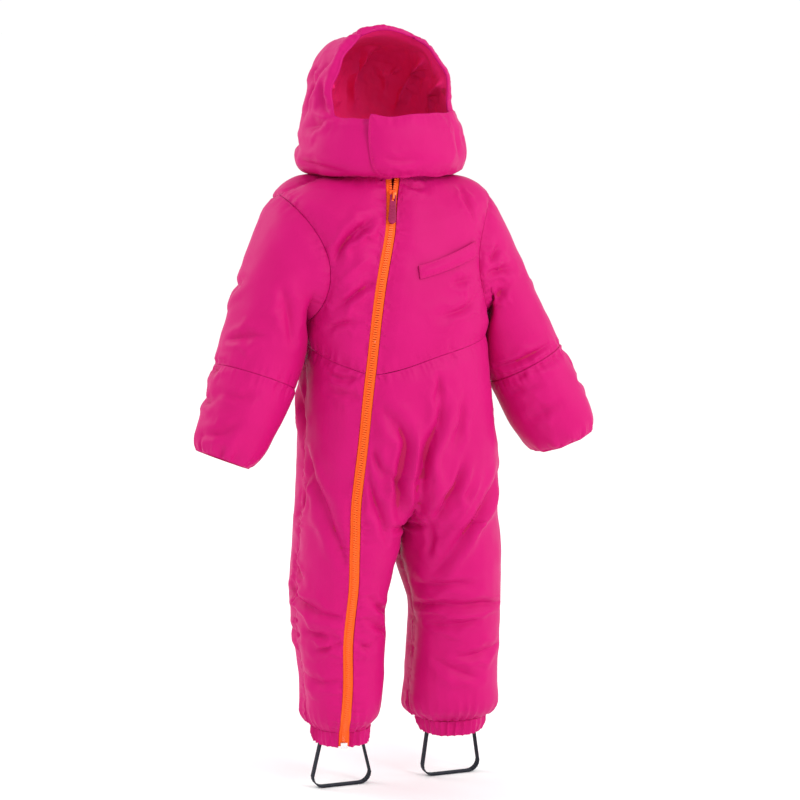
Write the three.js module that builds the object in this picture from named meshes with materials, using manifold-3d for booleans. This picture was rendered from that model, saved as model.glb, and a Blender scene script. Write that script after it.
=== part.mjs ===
// A toddler's padded one-piece snowsuit with a hood, filled out as worn, with no wearer in it.
// Millimetres, +Z up, the front faces -Y and the wearer's right is -X.
// The origin is between the shoulders at the base of the neck, where the wearer carries the suit.
// Every cloth piece is a closed wall: a smooth base surface is moved out by the padding and the folds, and
// moved in by the plain inside. Neighbouring pieces stay a seam gap apart.
import Module from "manifold-3d";
import * as THREE from "three";

const solids = await Module();
solids.setup();

// Cloth
const insideDepth = 2.4; // wall thickness at a seam
const padding = 3; // extra thickness in the middle of a padded piece
const leastWall = 1; // under a deep fold, the inside moves in too
const paddingRise = 24; // distance from a seam over which the padding reaches its thickness
const seamGap = 0.4;
const edgeRow = 7; // first row of faces beside a seam, so that the edge stays crisp

// Body, as distances down from the neck seam
const armholeTop = 46;
const armholeBottom = 166;
const armholeFront = 0.212; // share of the half turn that the armhole takes in front of the side
const armholeBack = 0.19;
const armholeSteps = 9; // straight steps from the armhole's top to its bottom, on each side of it
const hip = 330; // where the body starts to part into legs
const crotch = 401;
const legEnd = 652; // seam of the ankle band
const bandEnd = 671;

// Zip
const zipHalf = 6; // half of the orange strip that shows
const zipHalfTop = 8.8;
const zipParting = zipHalfTop - zipHalf - 0.3; // how far each tape moves aside at the top
const sliderAt = 19; // distance down of the slider
const teethHalf = 2.4;

const colours = {
  shell: 0xd81b74,
  lining: 0xb3123f,
  zip: 0xff6a13,
  puller: 0x8e1450,
  metal: 0xc9c9cc,
  elastic: 0x22222a,
};

const mix = (a, b, share) => a + (b - a) * share;
const clamp = (x) => Math.min(Math.max(x, 0), 1);
const ease = (x) => clamp(x) ** 2 * (3 - 2 * clamp(x));

// Every column of a table at a place between its rows, on a smooth curve through the rows.
function between(table, key, at) {
  let i = table.findIndex((row) => row[key] >= at) - 1;
  if (i < 0) i = at <= table[0][key] ? 0 : table.length - 2;
  const [a, b] = [table[i], table[i + 1]];
  const [before, after] = [table[Math.max(i - 1, 0)], table[Math.min(i + 2, table.length - 1)]];
  const span = b[key] - a[key];
  const u = clamp((at - a[key]) / span);
  const value = {};
  for (const name in a) {
    const slopeA = (b[name] - before[name]) / (b[key] - before[key]);
    const slopeB = (after[name] - a[name]) / (after[key] - a[key]);
    value[name] =
      (1 + 2 * u) * (1 - u) ** 2 * a[name] +
      u * (1 - u) ** 2 * span * slopeA +
      u * u * (3 - 2 * u) * b[name] +
      u * u * (u - 1) * span * slopeB;
  }
  return value;
}

// Distance from a ring's centre to its outline, in the direction with this sine and cosine.
function outline(sine, cosine, half, depth, square) {
  return (Math.abs(sine / half) ** square + Math.abs(cosine / depth) ** square) ** (-1 / square);
}

// Rings of the body: half width, depth before and behind the ring's centre, the ring's height at its
// front, side and back, and its centre.
const bodyRings = [
  { down: 0, half: 64, front: 62, back: 56, zFront: 7, zSide: 5.4, zBack: 8.4, midX: 0, midY: 0 },
  { down: 22, half: 96, front: 72, back: 72, zFront: -20, zSide: -5, zBack: -10, midX: 0, midY: 0 },
  { down: 46, half: 127, front: 82, back: 82, zFront: -53, zSide: -16, zBack: -42, midX: 1, midY: -2 },
  { down: 76, half: 130, front: 89, back: 87, zFront: -80, zSide: -54, zBack: -76, midX: 2, midY: -4 },
  { down: 110, half: 125, front: 93, back: 90, zFront: -112, zSide: -96, zBack: -110, midX: 3, midY: -8 },
  { down: 150, half: 117, front: 95, back: 92, zFront: -150, zSide: -148, zBack: -150, midX: 5, midY: -14 },
  { down: 195, half: 110, front: 95, back: 93, zFront: -195, zSide: -195, zBack: -195, midX: 8, midY: -19 },
  { down: 240, half: 109, front: 95, back: 93, zFront: -240, zSide: -240, zBack: -240, midX: 9, midY: -23 },
  { down: 290, half: 112, front: 95, back: 95, zFront: -290, zSide: -290, zBack: -290, midX: 10, midY: -25 },
  { down: 330, half: 115, front: 96, back: 97, zFront: -330, zSide: -330, zBack: -330, midX: 10, midY: -26 },
  { down: 380, half: 117, front: 97, back: 98, zFront: -380, zSide: -380, zBack: -380, midX: 10, midY: -27 },
  { down: 470, half: 117, front: 97, back: 98, zFront: -470, zSide: -470, zBack: -470, midX: 10, midY: -27 },
];

// Rings of the legs: how far the ring's centre is from the middle and its half width, on the wearer's
// right and left leg, its half depth, and how far forward it is.
const legRings = [
  { down: 330, outRight: 60, right: 60, outLeft: 60, left: 60, depth: 84, midY: -26 },
  { down: 401, outRight: 61, right: 60, outLeft: 61, left: 61, depth: 86, midY: -27 },
  { down: 458, outRight: 68, right: 57, outLeft: 67, left: 59, depth: 75, midY: -29 },
  { down: 500, outRight: 75, right: 53, outLeft: 73, left: 53, depth: 65, midY: -31 },
  { down: 530, outRight: 74, right: 53, outLeft: 74, left: 52, depth: 60, midY: -31 },
  { down: 560, outRight: 71, right: 51, outLeft: 73, left: 53, depth: 55, midY: -30 },
  { down: 600, outRight: 69, right: 47, outLeft: 71, left: 54, depth: 53, midY: -29 },
  { down: 630, outRight: 70, right: 45, outLeft: 71, left: 55, depth: 51, midY: -28 },
  { down: 643, outRight: 70, right: 40, outLeft: 71, left: 53, depth: 47, midY: -28 },
  { down: 652, outRight: 70, right: 34, outLeft: 71, left: 42, depth: 39, midY: -28 },
  { down: 671, outRight: 70, right: 32, outLeft: 71, left: 36, depth: 36, midY: -28 },
];
const legMidX = 9;
const bodySquare = 2.35;
const legSquare = 2.2;
const creaseHalf = 0.1; // share of a half turn beside the middle that follows the crotch curve

// The share of the half turn from the middle of the front at which the zip runs down the right side.
const zipPath = [
  { down: 0, share: 0.036 },
  { down: 40, share: 0.066 },
  { down: 85, share: 0.102 },
  { down: 120, share: 0.13 },
  { down: 188, share: 0.177 },
  { down: 245, share: 0.207 },
  { down: 291, share: 0.224 },
  { down: 337, share: 0.24 },
  { down: 385, share: 0.267 },
  { down: 432, share: 0.277 },
  { down: 500, share: 0.262 },
  { down: 542, share: 0.273 },
  { down: 671, share: 0.288 },
];

// The waist seam is lowest at the zip and climbs to the sides.
const waistSeam = [
  { turn: -1, down: 206 },
  { turn: -0.7, down: 200 },
  { turn: -0.5, down: 190 },
  { turn: -0.3, down: 207 },
  { turn: -0.17, down: 217 },
  { turn: 0.13, down: 195 },
  { turn: 0.5, down: 181 },
  { turn: 0.7, down: 196 },
  { turn: 1, down: 206 },
];

// A point of the body. turn runs from 0 at the middle of the front to 1 at the middle of the back on the
// wearer's left, and to -1 on the right. Below the crotch, turn 0 and 1 are both the inside of the leg.
function bodyPoint(turn, down) {
  const side = turn < 0 ? -1 : 1;
  const share = Math.abs(turn);
  const ring = between(bodyRings, "down", down);
  const [sine, cosine] = [Math.sin(Math.PI * share), Math.cos(Math.PI * share)];
  const reach = outline(sine, cosine, ring.half, cosine > 0 ? ring.front : ring.back, bodySquare);
  const end = cosine > 0 ? ring.zFront : ring.zBack;
  const point = new THREE.Vector3(
    ring.midX + side * reach * sine,
    ring.midY - reach * cosine,
    mix(ring.zSide, end, cosine ** 2),
  );
  if (down <= hip) return point;

  const leg = between(legRings, "down", down);
  const [half, out] = side < 0 ? [leg.right, leg.outRight] : [leg.left, leg.outLeft];
  const [legSine, legCosine] = [Math.sin(2 * Math.PI * share), Math.cos(2 * Math.PI * share)];
  const legReach = outline(legCosine, legSine, half, leg.depth, legSquare);
  const outward = Math.max(out - legReach * legCosine, out - half, 0);
  const legPoint = new THREE.Vector3(legMidX + side * outward, leg.midY - legReach * legSine, -down);

  // The middle follows the round crotch curve, and the rest changes slowly into a leg.
  const fork = clamp((down - hip) / (crotch - hip));
  const middleBlend = 1 - Math.sqrt(1 - fork ** 2);
  const sideBlend = ease((down - hip) / 140);
  const nearMiddle = Math.exp(-((Math.min(share, 1 - share) / creaseHalf) ** 2));
  return point.lerp(legPoint, mix(sideBlend, middleBlend, nearMiddle));
}

const zipShare = (down) => between(zipPath, "down", down).share;
const zipTurn = (down) => -zipShare(down);
const zipHalfAt = (down) => mix(zipHalfTop, zipHalf, ease(down / sliderAt)) + seamGap / 2;

// How much turn goes with a millimetre across the zip.
function turnPerMm(turn, down) {
  const step = 0.005;
  return step / bodyPoint(turn, down).distanceTo(bodyPoint(turn - step, down));
}

function zipEdge(side) {
  return (down) => zipTurn(down) + side * zipHalfAt(down) * turnPerMm(zipTurn(down), down);
}

// The armhole's edge, as a turn: side 1 or -1, and front 1 or back -1 of the side seam.
function armholeTurn(side, front, down) {
  const middle = (armholeTop + armholeBottom) / 2;
  const reach = Math.sqrt(Math.max(1 - ((down - middle) / (armholeBottom - middle)) ** 2, 0));
  return side * (0.5 - front * (front > 0 ? armholeFront : armholeBack) * reach);
}

const waist = (turn) => between(waistSeam, "turn", turn).down;

// Folds, as paths over a surface: width is the distance at which a fold fades, depth is how deep its
// trough is, and a negative depth is a ridge.
const bodyFolds = [
  { path: [[-0.2, 122], [-0.155, 104], [-0.11, 84]], width: 11, depth: 4 },
  { path: [[-0.23, 150], [-0.2, 132], [-0.14, 112]], width: 9, depth: 3 },
  { path: [[-0.29, 168], [-0.22, 158], [-0.14, 138]], width: 8, depth: 3 },
  { path: [[0.02, 268], [-0.02, 300], [-0.025, 345], [-0.012, 385]], width: 12, depth: 7 },
  { path: [[0.2, 240], [0.17, 285], [0.11, 330], [0.1, 380]], width: 12, depth: 6 },
  { path: [[0.07, 300], [0.06, 345], [0.05, 388]], width: 12, depth: -5 },
  { path: [[-0.07, 330], [-0.1, 380], [-0.13, 430], [-0.15, 470]], width: 10, depth: 4 },
  { path: [[0.4, 380], [0.32, 410], [0.22, 450]], width: 12, depth: 5 },
  { path: [[0.26, 320], [0.2, 380], [0.12, 440]], width: 12, depth: 4 },
  { path: [[-0.44, 350], [-0.4, 395], [-0.33, 440]], width: 13, depth: 5 },
  { path: [[0.12, 522], [0.25, 516], [0.4, 518]], width: 9, depth: 5 },
  { path: [[0.3, 488], [0.4, 482]], width: 9, depth: 4 },
  { path: [[-0.5, 500], [-0.38, 532], [-0.31, 560]], width: 10, depth: 5 },
  { path: [[-0.5, 575], [-0.38, 566], [-0.31, 572]], width: 9, depth: 4 },
  { path: [[-0.29, 566], [-0.16, 572], [-0.06, 560]], width: 9, depth: 5 },
  { path: [[0.75, 545], [0.88, 522], [0.97, 505]], width: 10, depth: 5 },
  { path: [[-0.75, 548], [-0.88, 526], [-0.97, 508]], width: 10, depth: 5 },
  { path: [[0.62, 150], [0.72, 128], [0.8, 110]], width: 11, depth: 4 },
  { path: [[-0.62, 150], [-0.72, 130], [-0.8, 112]], width: 11, depth: 4 },
  { path: [[0.62, 330], [0.72, 385], [0.86, 425]], width: 13, depth: 5 },
  { path: [[-0.62, 335], [-0.72, 388], [-0.86, 428]], width: 13, depth: 5 },
];

// A fold's path as points in space, close enough together to measure from.
function foldOn(surface, { path, width, depth }) {
  const curve = new THREE.CatmullRomCurve3(path.map(([a, b]) => surface(a, b)));
  return { points: curve.getPoints(24), width, depth };
}

function foldOffset(folds, point) {
  let offset = 0;
  for (const { points, width, depth } of folds) {
    let nearest = Infinity;
    let along = 0;
    points.forEach((p, i) => {
      const distance = p.distanceTo(point);
      if (distance < nearest) [nearest, along] = [distance, i / (points.length - 1)];
    });
    const taper = Math.sin(Math.PI * mix(0.08, 0.92, along));
    offset -= depth * taper * Math.exp(-((nearest / width) ** 2));
  }
  return offset;
}

// A base surface: lattices of points, joined where their points meet.
class Sheet {
  constructor() {
    this.points = [];
    this.faces = [];
    this.known = new Map();
  }

  point(p) {
    const key = [p.x, p.y, p.z].map((x) => Math.round(x * 50)).join();
    if (!this.known.has(key)) this.known.set(key, this.points.push(p) - 1);
    return this.known.get(key);
  }

  // at(a, b) gives the point at each share of the way across and down. Each cell is split on its short way.
  lattice(across, downward, at) {
    const grid = downward.map((b) => across.map((a) => this.point(at(a, b))));
    const apart = (i, j) => this.points[i].distanceTo(this.points[j]);
    for (let j = 0; j < downward.length - 1; j++) {
      for (let i = 0; i < across.length - 1; i++) {
        const [p, q, r, s] = [grid[j][i], grid[j][i + 1], grid[j + 1][i + 1], grid[j + 1][i]];
        const halves = apart(p, r) < apart(q, s) ? [[p, s, r], [p, r, q]] : [[p, s, q], [q, s, r]];
        for (const face of halves) if (new Set(face).size === 3) this.faces.push(face);
      }
    }
    this.normals = this.points.map(() => new THREE.Vector3());
    for (const face of this.faces) {
      const [a, b, c] = face.map((i) => this.points[i]);
      const normal = b.clone().sub(a).cross(c.clone().sub(a));
      for (const i of face) this.normals[i].add(normal);
    }
    this.normals.forEach((n) => n.normalize());
    return this;
  }
}

// Where sheets meet at a seam, both take the normal halfway between theirs, so that their walls meet in
// a mitre.
function mitre(...sheets) {
  const sums = new Map();
  for (const { known, normals } of sheets) {
    for (const [key, i] of known) {
      if (!sums.has(key)) sums.set(key, new THREE.Vector3());
      sums.get(key).add(normals[i]);
    }
  }
  for (const { known, normals } of sheets) {
    for (const [key, i] of known) normals[i] = sums.get(key).clone().normalize();
  }
}

// Shares from 0 to 1, with a narrow first and last step where an edge is a seam.
function shares(count, narrow = 0) {
  const inner = Array.from({ length: count + 1 }, (_, i) => mix(narrow, 1 - narrow, i / count));
  return narrow ? [0, ...inner, 1] : inner;
}

// The place on an edge that is nearest to a point.
function nearestOn(edge, points, p) {
  const line = new THREE.Line3();
  const foot = new THREE.Vector3();
  let best = { distance: Infinity };
  for (const [from, to] of edge) {
    line.set(points[from], points[to]);
    const share = line.closestPointToPointParameter(p, true);
    const distance = line.at(share, foot).distanceTo(p);
    if (distance < best.distance) best = { distance, from, to, share };
  }
  return best;
}

// The closed wall on a sheet: puff is the padding, fold moves a point out or in, and open edges are seams.
function wallOn(sheet, { puff = padding, inside = insideDepth, lift = 0, rise = paddingRise, fold = () => 0 } = {}) {
  const { points, faces, normals } = sheet;
  const edges = new Map();
  for (const face of faces) {
    face.forEach((i, k) => {
      const next = face[(k + 1) % 3];
      const back = `${next},${i}`;
      if (edges.has(back)) edges.delete(back);
      else edges.set(`${i},${next}`, [i, next]);
    });
  }

  const rim = [...edges.values()];
  const along = new Map(rim.flat().map((i) => [i, new THREE.Vector3()]));
  for (const [i, next] of rim) {
    const step = points[next].clone().sub(points[i]).normalize();
    along.get(i).add(step);
    along.get(next).add(step);
  }
  const pulls = new Map();
  for (const [i, tangent] of along) {
    const corner = Math.min(2 / tangent.length(), 2);
    pulls.set(i, normals[i].clone().cross(tangent).setLength((corner * seamGap) / 2));
  }

  // Beside a seam, points lean and shift as the seam does.
  const outer = [];
  const inner = [];
  points.forEach((p, i) => {
    const seam = nearestOn(rim, points, p);
    const away = clamp(seam.distance / edgeRow);
    const atSeam = normals[seam.from].clone().lerp(normals[seam.to], seam.share);
    const normal = atSeam.lerp(normals[i], away).normalize();
    const pull = pulls.get(seam.from).clone().lerp(pulls.get(seam.to), seam.share);
    const base = p.clone().addScaledVector(pull, 1 - away);
    const height = lift + puff * ease(seam.distance / rise) + fold(p) * clamp(seam.distance / 8);
    outer.push(base.clone().addScaledVector(normal, height));
    inner.push(base.addScaledVector(normal, Math.min(lift - inside, height - leastWall)));
  });

  const count = points.length;
  const triangles = faces.flatMap(([a, b, c]) => [a, b, c, count + c, count + b, count + a]);
  for (const [i, next] of rim) {
    // Both pieces at a seam split the faces between them on the same diagonal.
    const [a, b] = [points[i], points[next]];
    if (a.z - b.z + (a.x - b.x) / 50 > 0) triangles.push(i, count + next, next, i, count + i, count + next);
    else triangles.push(i, count + i, next, next, count + i, count + next);
  }
  const geometry = new THREE.BufferGeometry();
  const positions = [...outer, ...inner].flatMap((p) => [p.x, p.y, p.z]);
  geometry.setAttribute("position", new THREE.Float32BufferAttribute(positions, 3));
  geometry.setIndex(triangles);
  geometry.computeVertexNormals();
  return geometry;
}

const suit = new THREE.Group();
function add(name, geometry, colour, roughness = 0.55, metalness = 0) {
  const material = new THREE.MeshStandardMaterial({ color: colour, roughness, metalness });
  const mesh = new THREE.Mesh(geometry, material);
  mesh.name = name;
  suit.add(mesh);
  return mesh;
}

// Body panels
const folds = bodyFolds.map((fold) => foldOn(bodyPoint, fold));
const bodyFold = (p) => foldOffset(folds, p);

// Rows of the lower panels: even down to the hip, round the crotch curve, then even down the leg.
function lowerRows(turn) {
  const rows = [0, edgeRow, 36, 72, 104].map((d) => mix(waist(turn), hip, d / 104));
  for (const angle of [24, 44, 62, 78, 90]) rows.push(hip + (crotch - hip) * Math.sin((angle * Math.PI) / 180));
  for (const down of [418, 436, 456, 476, 494, 510, 526, 544, 560, 578, 596, 614, 630, 641, legEnd - 3, legEnd]) {
    rows.push(down);
  }
  return rows;
}
const fixed = (value) => () => value;
const rightZipEdge = zipEdge(-1);
const leftZipEdge = zipEdge(1);
const armholeDown = (step) => {
  const middle = (armholeTop + armholeBottom) / 2;
  return middle - (armholeBottom - middle) * Math.cos((Math.PI * step) / armholeSteps);
};

// Rows of the upper panels: neck and shoulder, one row at each step of the armhole, then to the waist.
function upperRows(turn) {
  const rows = [0, edgeRow, 24];
  for (let step = 0; step <= armholeSteps; step++) rows.push(armholeDown(step));
  const low = waist(turn);
  return [...rows, mix(armholeBottom, low, 0.36), low - edgeRow, low];
}

// A lattice on the body between two side edges, along rows that may follow the turn.
function rowLattice(sheet, columns, rowsAt, first, last, surface = bodyPoint) {
  const count = rowsAt(0).length;
  return sheet.lattice(columns, [...Array(count).keys()], (a, j) => {
    let down = rowsAt(mix(first(hip / 2), last(hip / 2), a))[j];
    let turn = 0;
    for (let i = 0; i < 6; i++) {
      turn = mix(first(down), last(down), a);
      down = rowsAt(turn)[j];
    }
    return surface(turn, down);
  });
}

const chestRight = rowLattice(
  new Sheet(),
  shares(6, 0.04),
  upperRows,
  (down) => armholeTurn(-1, 1, down),
  rightZipEdge,
);
const chestLeft = rowLattice(
  new Sheet(),
  shares(9, 0.03),
  upperRows,
  leftZipEdge,
  (down) => armholeTurn(1, 1, down),
);

// The back is one piece from side seam to side seam, so its turn runs on past the middle.
const unwrap = (turn) => (turn > 1 ? turn - 2 : turn);
const backYoke = rowLattice(
  new Sheet(),
  shares(14, 0.02),
  (turn) => upperRows(unwrap(turn)),
  (down) => armholeTurn(1, -1, down),
  (down) => 2 + armholeTurn(-1, -1, down),
  (turn, down) => bodyPoint(unwrap(turn), down),
);

const outerLeg = rowLattice(new Sheet(), shares(4, 0.06), lowerRows, fixed(-0.5), rightZipEdge);

// One piece runs from the zip over the belly to the left side seam, and down the front of both legs.
const lowerFront = rowLattice(new Sheet(), [0, 0.08, 0.36, 0.68, 1], lowerRows, leftZipEdge, fixed(-1e-9));
rowLattice(lowerFront, [0, 0.1, 0.22, 0.36, 0.5, 0.64, 0.79, 0.95, 1], lowerRows, fixed(0), fixed(0.5));

const seatColumns = shares(7, 0.045);
const seatRight = rowLattice(new Sheet(), seatColumns, lowerRows, fixed(-1), fixed(-0.5));
const seatLeft = rowLattice(new Sheet(), seatColumns, lowerRows, fixed(0.5), fixed(1));

// Ankle bands: a gathered casing of elastic. The right one is open where the zip comes down through it.
const gathers = 21;
const ankleX = (side) => legMidX + side * (side < 0 ? legRings.at(-1).outRight : legRings.at(-1).outLeft);
const ankleY = legRings.at(-1).midY;
function bandPoint(side, share, down) {
  const point = bodyPoint(side * Math.max(Math.min(share, 1), 0), down);
  const centre = new THREE.Vector3(ankleX(side), ankleY, point.z);
  const wave = Math.cos(2 * Math.PI * gathers * share) + 0.5 * Math.cos(2 * Math.PI * 7 * share);
  const depth = 1.2 * ease((down - legEnd) / 6);
  return point.addScaledVector(point.clone().sub(centre).normalize(), depth * wave);
}
function band(name, side, first, last) {
  const columns = shares(Math.round(gathers * 3 * (last(bandEnd) - first(bandEnd))));
  const rows = [0, 0.25, 0.8, 1];
  const sheet = new Sheet().lattice(columns, rows, (a, b) => {
    const down = mix(legEnd + seamGap, bandEnd, b);
    const share = (mix(first(down), last(down), side > 0 ? a : 1 - a) + 1) % 1;
    return bandPoint(side, share, down);
  });
  add(name, wallOn(sheet, { puff: 0.6, inside: 2.2, rise: 6 }), colours.shell);
}
band("ankle_band_right", -1, (down) => -rightZipEdge(down), (down) => 1 - leftZipEdge(down));
band("ankle_band_left", 1, fixed(0), fixed(1));

// Sleeves: the arm's middle line and the half width and depth of the tube round it. out is the distance
// from the middle of the body.
const armRings = {
  right: [
    { along: 0, out: 117, y: -8, z: -84, half: 56, depth: 60 },
    { along: 60, out: 137, y: -20, z: -139, half: 49, depth: 52 },
    { along: 150, out: 166, y: -30, z: -223, half: 47, depth: 49 },
    { along: 210, out: 188, y: -38, z: -273, half: 41, depth: 43 },
    { along: 250, out: 207, y: -44, z: -308, half: 36, depth: 37 },
    { along: 262, out: 211, y: -45, z: -317, half: 32, depth: 33 },
  ],
  left: [
    { along: 0, out: 109, y: -8, z: -84, half: 56, depth: 60 },
    { along: 60, out: 133, y: -16, z: -140, half: 48, depth: 52 },
    { along: 150, out: 172, y: -30, z: -222, half: 46, depth: 48 },
    { along: 210, out: 198, y: -38, z: -273, half: 44, depth: 44 },
    { along: 250, out: 216, y: -44, z: -309, half: 41, depth: 39 },
    { along: 262, out: 220, y: -45, z: -319, half: 36, depth: 34 },
  ],
};
const sleeveEnd = 262;
const elbow = 152;
const capLength = 95; // over this length the armhole's shape turns into the arm's ring
const tucks = 9;
const armClearance = 2 * padding + 1.5;

function armholePoint(side, angle) {
  const middle = (armholeTop + armholeBottom) / 2;
  const down = middle - (armholeBottom - middle) * Math.cos(angle);
  return bodyPoint(armholeTurn(side, Math.sin(angle) >= 0 ? 1 : -1, down), down);
}

// angle 0 is the outside of the arm, a quarter turn is its front and a half turn the side at the body.
function sleevePoint(side, angle, along) {
  const rings = side < 0 ? armRings.right : armRings.left;
  const centreAt = (at) => {
    const ring = between(rings, "along", at);
    return new THREE.Vector3(side * ring.out, ring.y, ring.z);
  };
  const ring = between(rings, "along", along);
  const run = centreAt(along + 4).sub(centreAt(along - 4)).normalize();
  if (along < 4) run.copy(centreAt(8)).sub(centreAt(0)).normalize();
  if (along > sleeveEnd - 4) run.copy(centreAt(sleeveEnd)).sub(centreAt(sleeveEnd - 8)).normalize();
  const outward = new THREE.Vector3(side, 0, 0);
  outward.addScaledVector(run, -outward.dot(run)).normalize();
  const forward = run.clone().cross(outward).multiplyScalar(side).normalize();
  if (forward.y > 0) forward.negate();
  const tuck = 1.6 * ease((along - sleeveEnd + 26) / 26);
  const wave = tuck * (Math.cos(tucks * angle) + 0.5 * Math.cos(5 * angle + 1));
  const point = centreAt(along)
    .addScaledVector(outward, (ring.half + wave) * Math.cos(angle))
    .addScaledVector(forward, (ring.depth + wave) * Math.sin(angle));
  const blend = 1 - (1 - clamp(along / capLength)) ** 2;
  point.lerpVectors(armholePoint(side, angle), point, blend);

  // Where the sleeve lies against the body, it is pressed flat just clear of it.
  const body = between(bodyRings, "down", Math.max(-point.z, armholeTop));
  const across = new THREE.Vector2(point.x - body.midX, body.midY - point.y);
  const [sine, cosine] = [across.x / across.length(), across.y / across.length()];
  const bodyReach = outline(sine, cosine, body.half, cosine > 0 ? body.front : body.back, bodySquare);
  const least = bodyReach + armClearance * clamp(along / 10);
  if (across.length() < least) {
    const push = (least - across.length()) * clamp(along / 7);
    point.x += push * sine;
    point.y -= push * cosine;
  }
  return point;
}

const sleeveFolds = [
  { side: 1, path: [[1.2, 22], [1.9, 40], [2.5, 52]], width: 10, depth: 4 },
  { side: 1, path: [[0.8, 52], [1.6, 62], [2.4, 70]], width: 10, depth: 5 },
  { side: 1, path: [[0.9, 88], [1.6, 92], [2.3, 96]], width: 9, depth: 4 },
  { side: 1, path: [[0.7, 132], [1.5, 138], [2.4, 142]], width: 8, depth: 3 },
  { side: 1, path: [[0.8, 168], [1.6, 172], [2.3, 176]], width: 8, depth: 3 },
  { side: -1, path: [[1.4, 34], [2.0, 60], [2.6, 84]], width: 11, depth: 4 },
  { side: -1, path: [[1.6, 160], [2.2, 150], [2.9, 146]], width: 9, depth: 4 },
  { side: 1, path: [[4.2, 60], [4.8, 72], [5.4, 78]], width: 11, depth: 4 },
  { side: -1, path: [[4.2, 62], [4.8, 74], [5.4, 80]], width: 11, depth: 4 },
  { side: 1, path: [[3.4, 148], [4.2, 158], [5.0, 160]], width: 9, depth: 4 },
  { side: -1, path: [[3.4, 150], [4.2, 160], [5.0, 162]], width: 9, depth: 4 },
];

function sleeve(side, from, to, count, steps) {
  const across = shares(count).map((a) => (side > 0 ? 1 - a : a));
  return new Sheet().lattice(across, steps, (a, b) => sleevePoint(side, 2 * Math.PI * a, mix(from, to, b)));
}
function sleeveFold(side) {
  const own = sleeveFolds
    .filter((fold) => fold.side === side)
    .map((fold) => foldOn((angle, along) => sleevePoint(side, angle, along), fold));
  return (p) => foldOffset(own, p);
}
const upperSteps = shares(9, 0.045);
const lowerSteps = [0, 0.05, 0.28, 0.52, 0.74, 0.9, 0.97, 1];
const upperSleeves = [-1, 1].map((side) => sleeve(side, 0, elbow, 2 * armholeSteps, upperSteps));

mitre(chestRight, chestLeft, backYoke, outerLeg, lowerFront, seatRight, seatLeft, ...upperSleeves);
const bodyPanels = {
  chest_right: chestRight,
  chest_left: chestLeft,
  back_yoke: backYoke,
  front_right_outer_leg: outerLeg,
  front_belly_and_left_leg: lowerFront,
  seat_and_right_leg_back: seatRight,
  seat_and_left_leg_back: seatLeft,
};
for (const name in bodyPanels) add(name, wallOn(bodyPanels[name], { fold: bodyFold }), colours.shell);
for (const [i, side, word] of [[0, -1, "right"], [1, 1, "left"]]) {
  const fold = sleeveFold(side);
  add(`upper_sleeve_${word}`, wallOn(upperSleeves[i], { fold }), colours.shell);
  const lower = sleeve(side, elbow + seamGap, sleeveEnd, 4 * armholeSteps, lowerSteps);
  add(`lower_sleeve_${word}`, wallOn(lower, { fold }), colours.shell);
}

// Hood rings: the lower ones are the puffed collar, the last one is the crown seam. level runs up them.
const hoodRings = [
  { level: 0, half: 64, front: 62, back: 56, zFront: 7.6, zSide: 6, zBack: 9, midX: 0, midY: 0 },
  { level: 1, half: 84, front: 74, back: 74, zFront: 10, zSide: 13, zBack: 16, midX: -1, midY: 2 },
  { level: 2, half: 91, front: 82, back: 86, zFront: 16, zSide: 20, zBack: 25, midX: -2, midY: 4 },
  { level: 3, half: 92, front: 84, back: 92, zFront: 27, zSide: 30, zBack: 35, midX: -1, midY: 5 },
  { level: 4, half: 89, front: 83, back: 97, zFront: 51, zSide: 51, zBack: 52, midX: 0, midY: 6 },
  { level: 5, half: 84, front: 80, back: 100, zFront: 75, zSide: 75, zBack: 76, midX: 1, midY: 7 },
  { level: 6, half: 79, front: 77, back: 102, zFront: 97, zSide: 97, zBack: 96, midX: 2, midY: 8 },
  { level: 7, half: 74, front: 71, back: 101, zFront: 118, zSide: 117, zBack: 114, midX: 3, midY: 9 },
  { level: 8, half: 66, front: 61, back: 97, zFront: 138, zSide: 136, zBack: 134, midX: 4, midY: 10 },
  { level: 9, half: 53, front: 47, back: 87, zFront: 154, zSide: 153, zBack: 149, midX: 5, midY: 11 },
  { level: 10, half: 36, front: 31, back: 70, zFront: 165, zSide: 164, zBack: 159, midX: 6, midY: 12 },
];
const rimTurn = 0.34; // share of the half turn from the front at which the face opening ends
const crownHalf = 33; // half width of the middle panel
const chinTop = 5; // level of the collar's top edge
const hoodSquare = 2.2;

function hoodPoint(turn, level) {
  const ring = between(hoodRings, "level", level);
  const share = Math.abs(turn);
  const [sine, cosine] = [Math.sin(Math.PI * share), Math.cos(Math.PI * share)];
  const reach = outline(sine, cosine, ring.half, cosine > 0 ? ring.front : ring.back, hoodSquare);
  const end = cosine > 0 ? ring.zFront : ring.zBack;
  return new THREE.Vector3(
    ring.midX + Math.sign(turn) * reach * sine,
    ring.midY - reach * cosine,
    mix(ring.zSide, end, cosine ** 2),
  );
}
const hoodSeamTurn = (level) => 1 - Math.asin(crownHalf / between(hoodRings, "level", level).half) / Math.PI;

const hoodFolds = [
  { path: [[-0.42, 6], [-0.45, 5], [-0.5, 4]], width: 10, depth: 3 },
  { path: [[-0.36, 5.2], [-0.3, 4.4], [-0.22, 4]], width: 9, depth: 2.5 },
  { path: [[0.42, 9], [0.46, 7.5], [0.42, 6]], width: 9, depth: 3 },
  { path: [[-0.45, 9.5], [-0.55, 8], [-0.6, 6.5]], width: 10, depth: 3 },
  { path: [[0.7, 8], [0.74, 6], [0.72, 4]], width: 11, depth: 3 },
  { path: [[-0.72, 7.6], [-0.75, 6], [-0.72, 4]], width: 11, depth: 3 },
  { path: [[-0.5, 1.6], [-0.35, 1.9], [-0.2, 1.6]], width: 8, depth: 2 },
].map((fold) => foldOn(hoodPoint, fold));
const hoodFold = (p) => foldOffset(hoodFolds, p);

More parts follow.
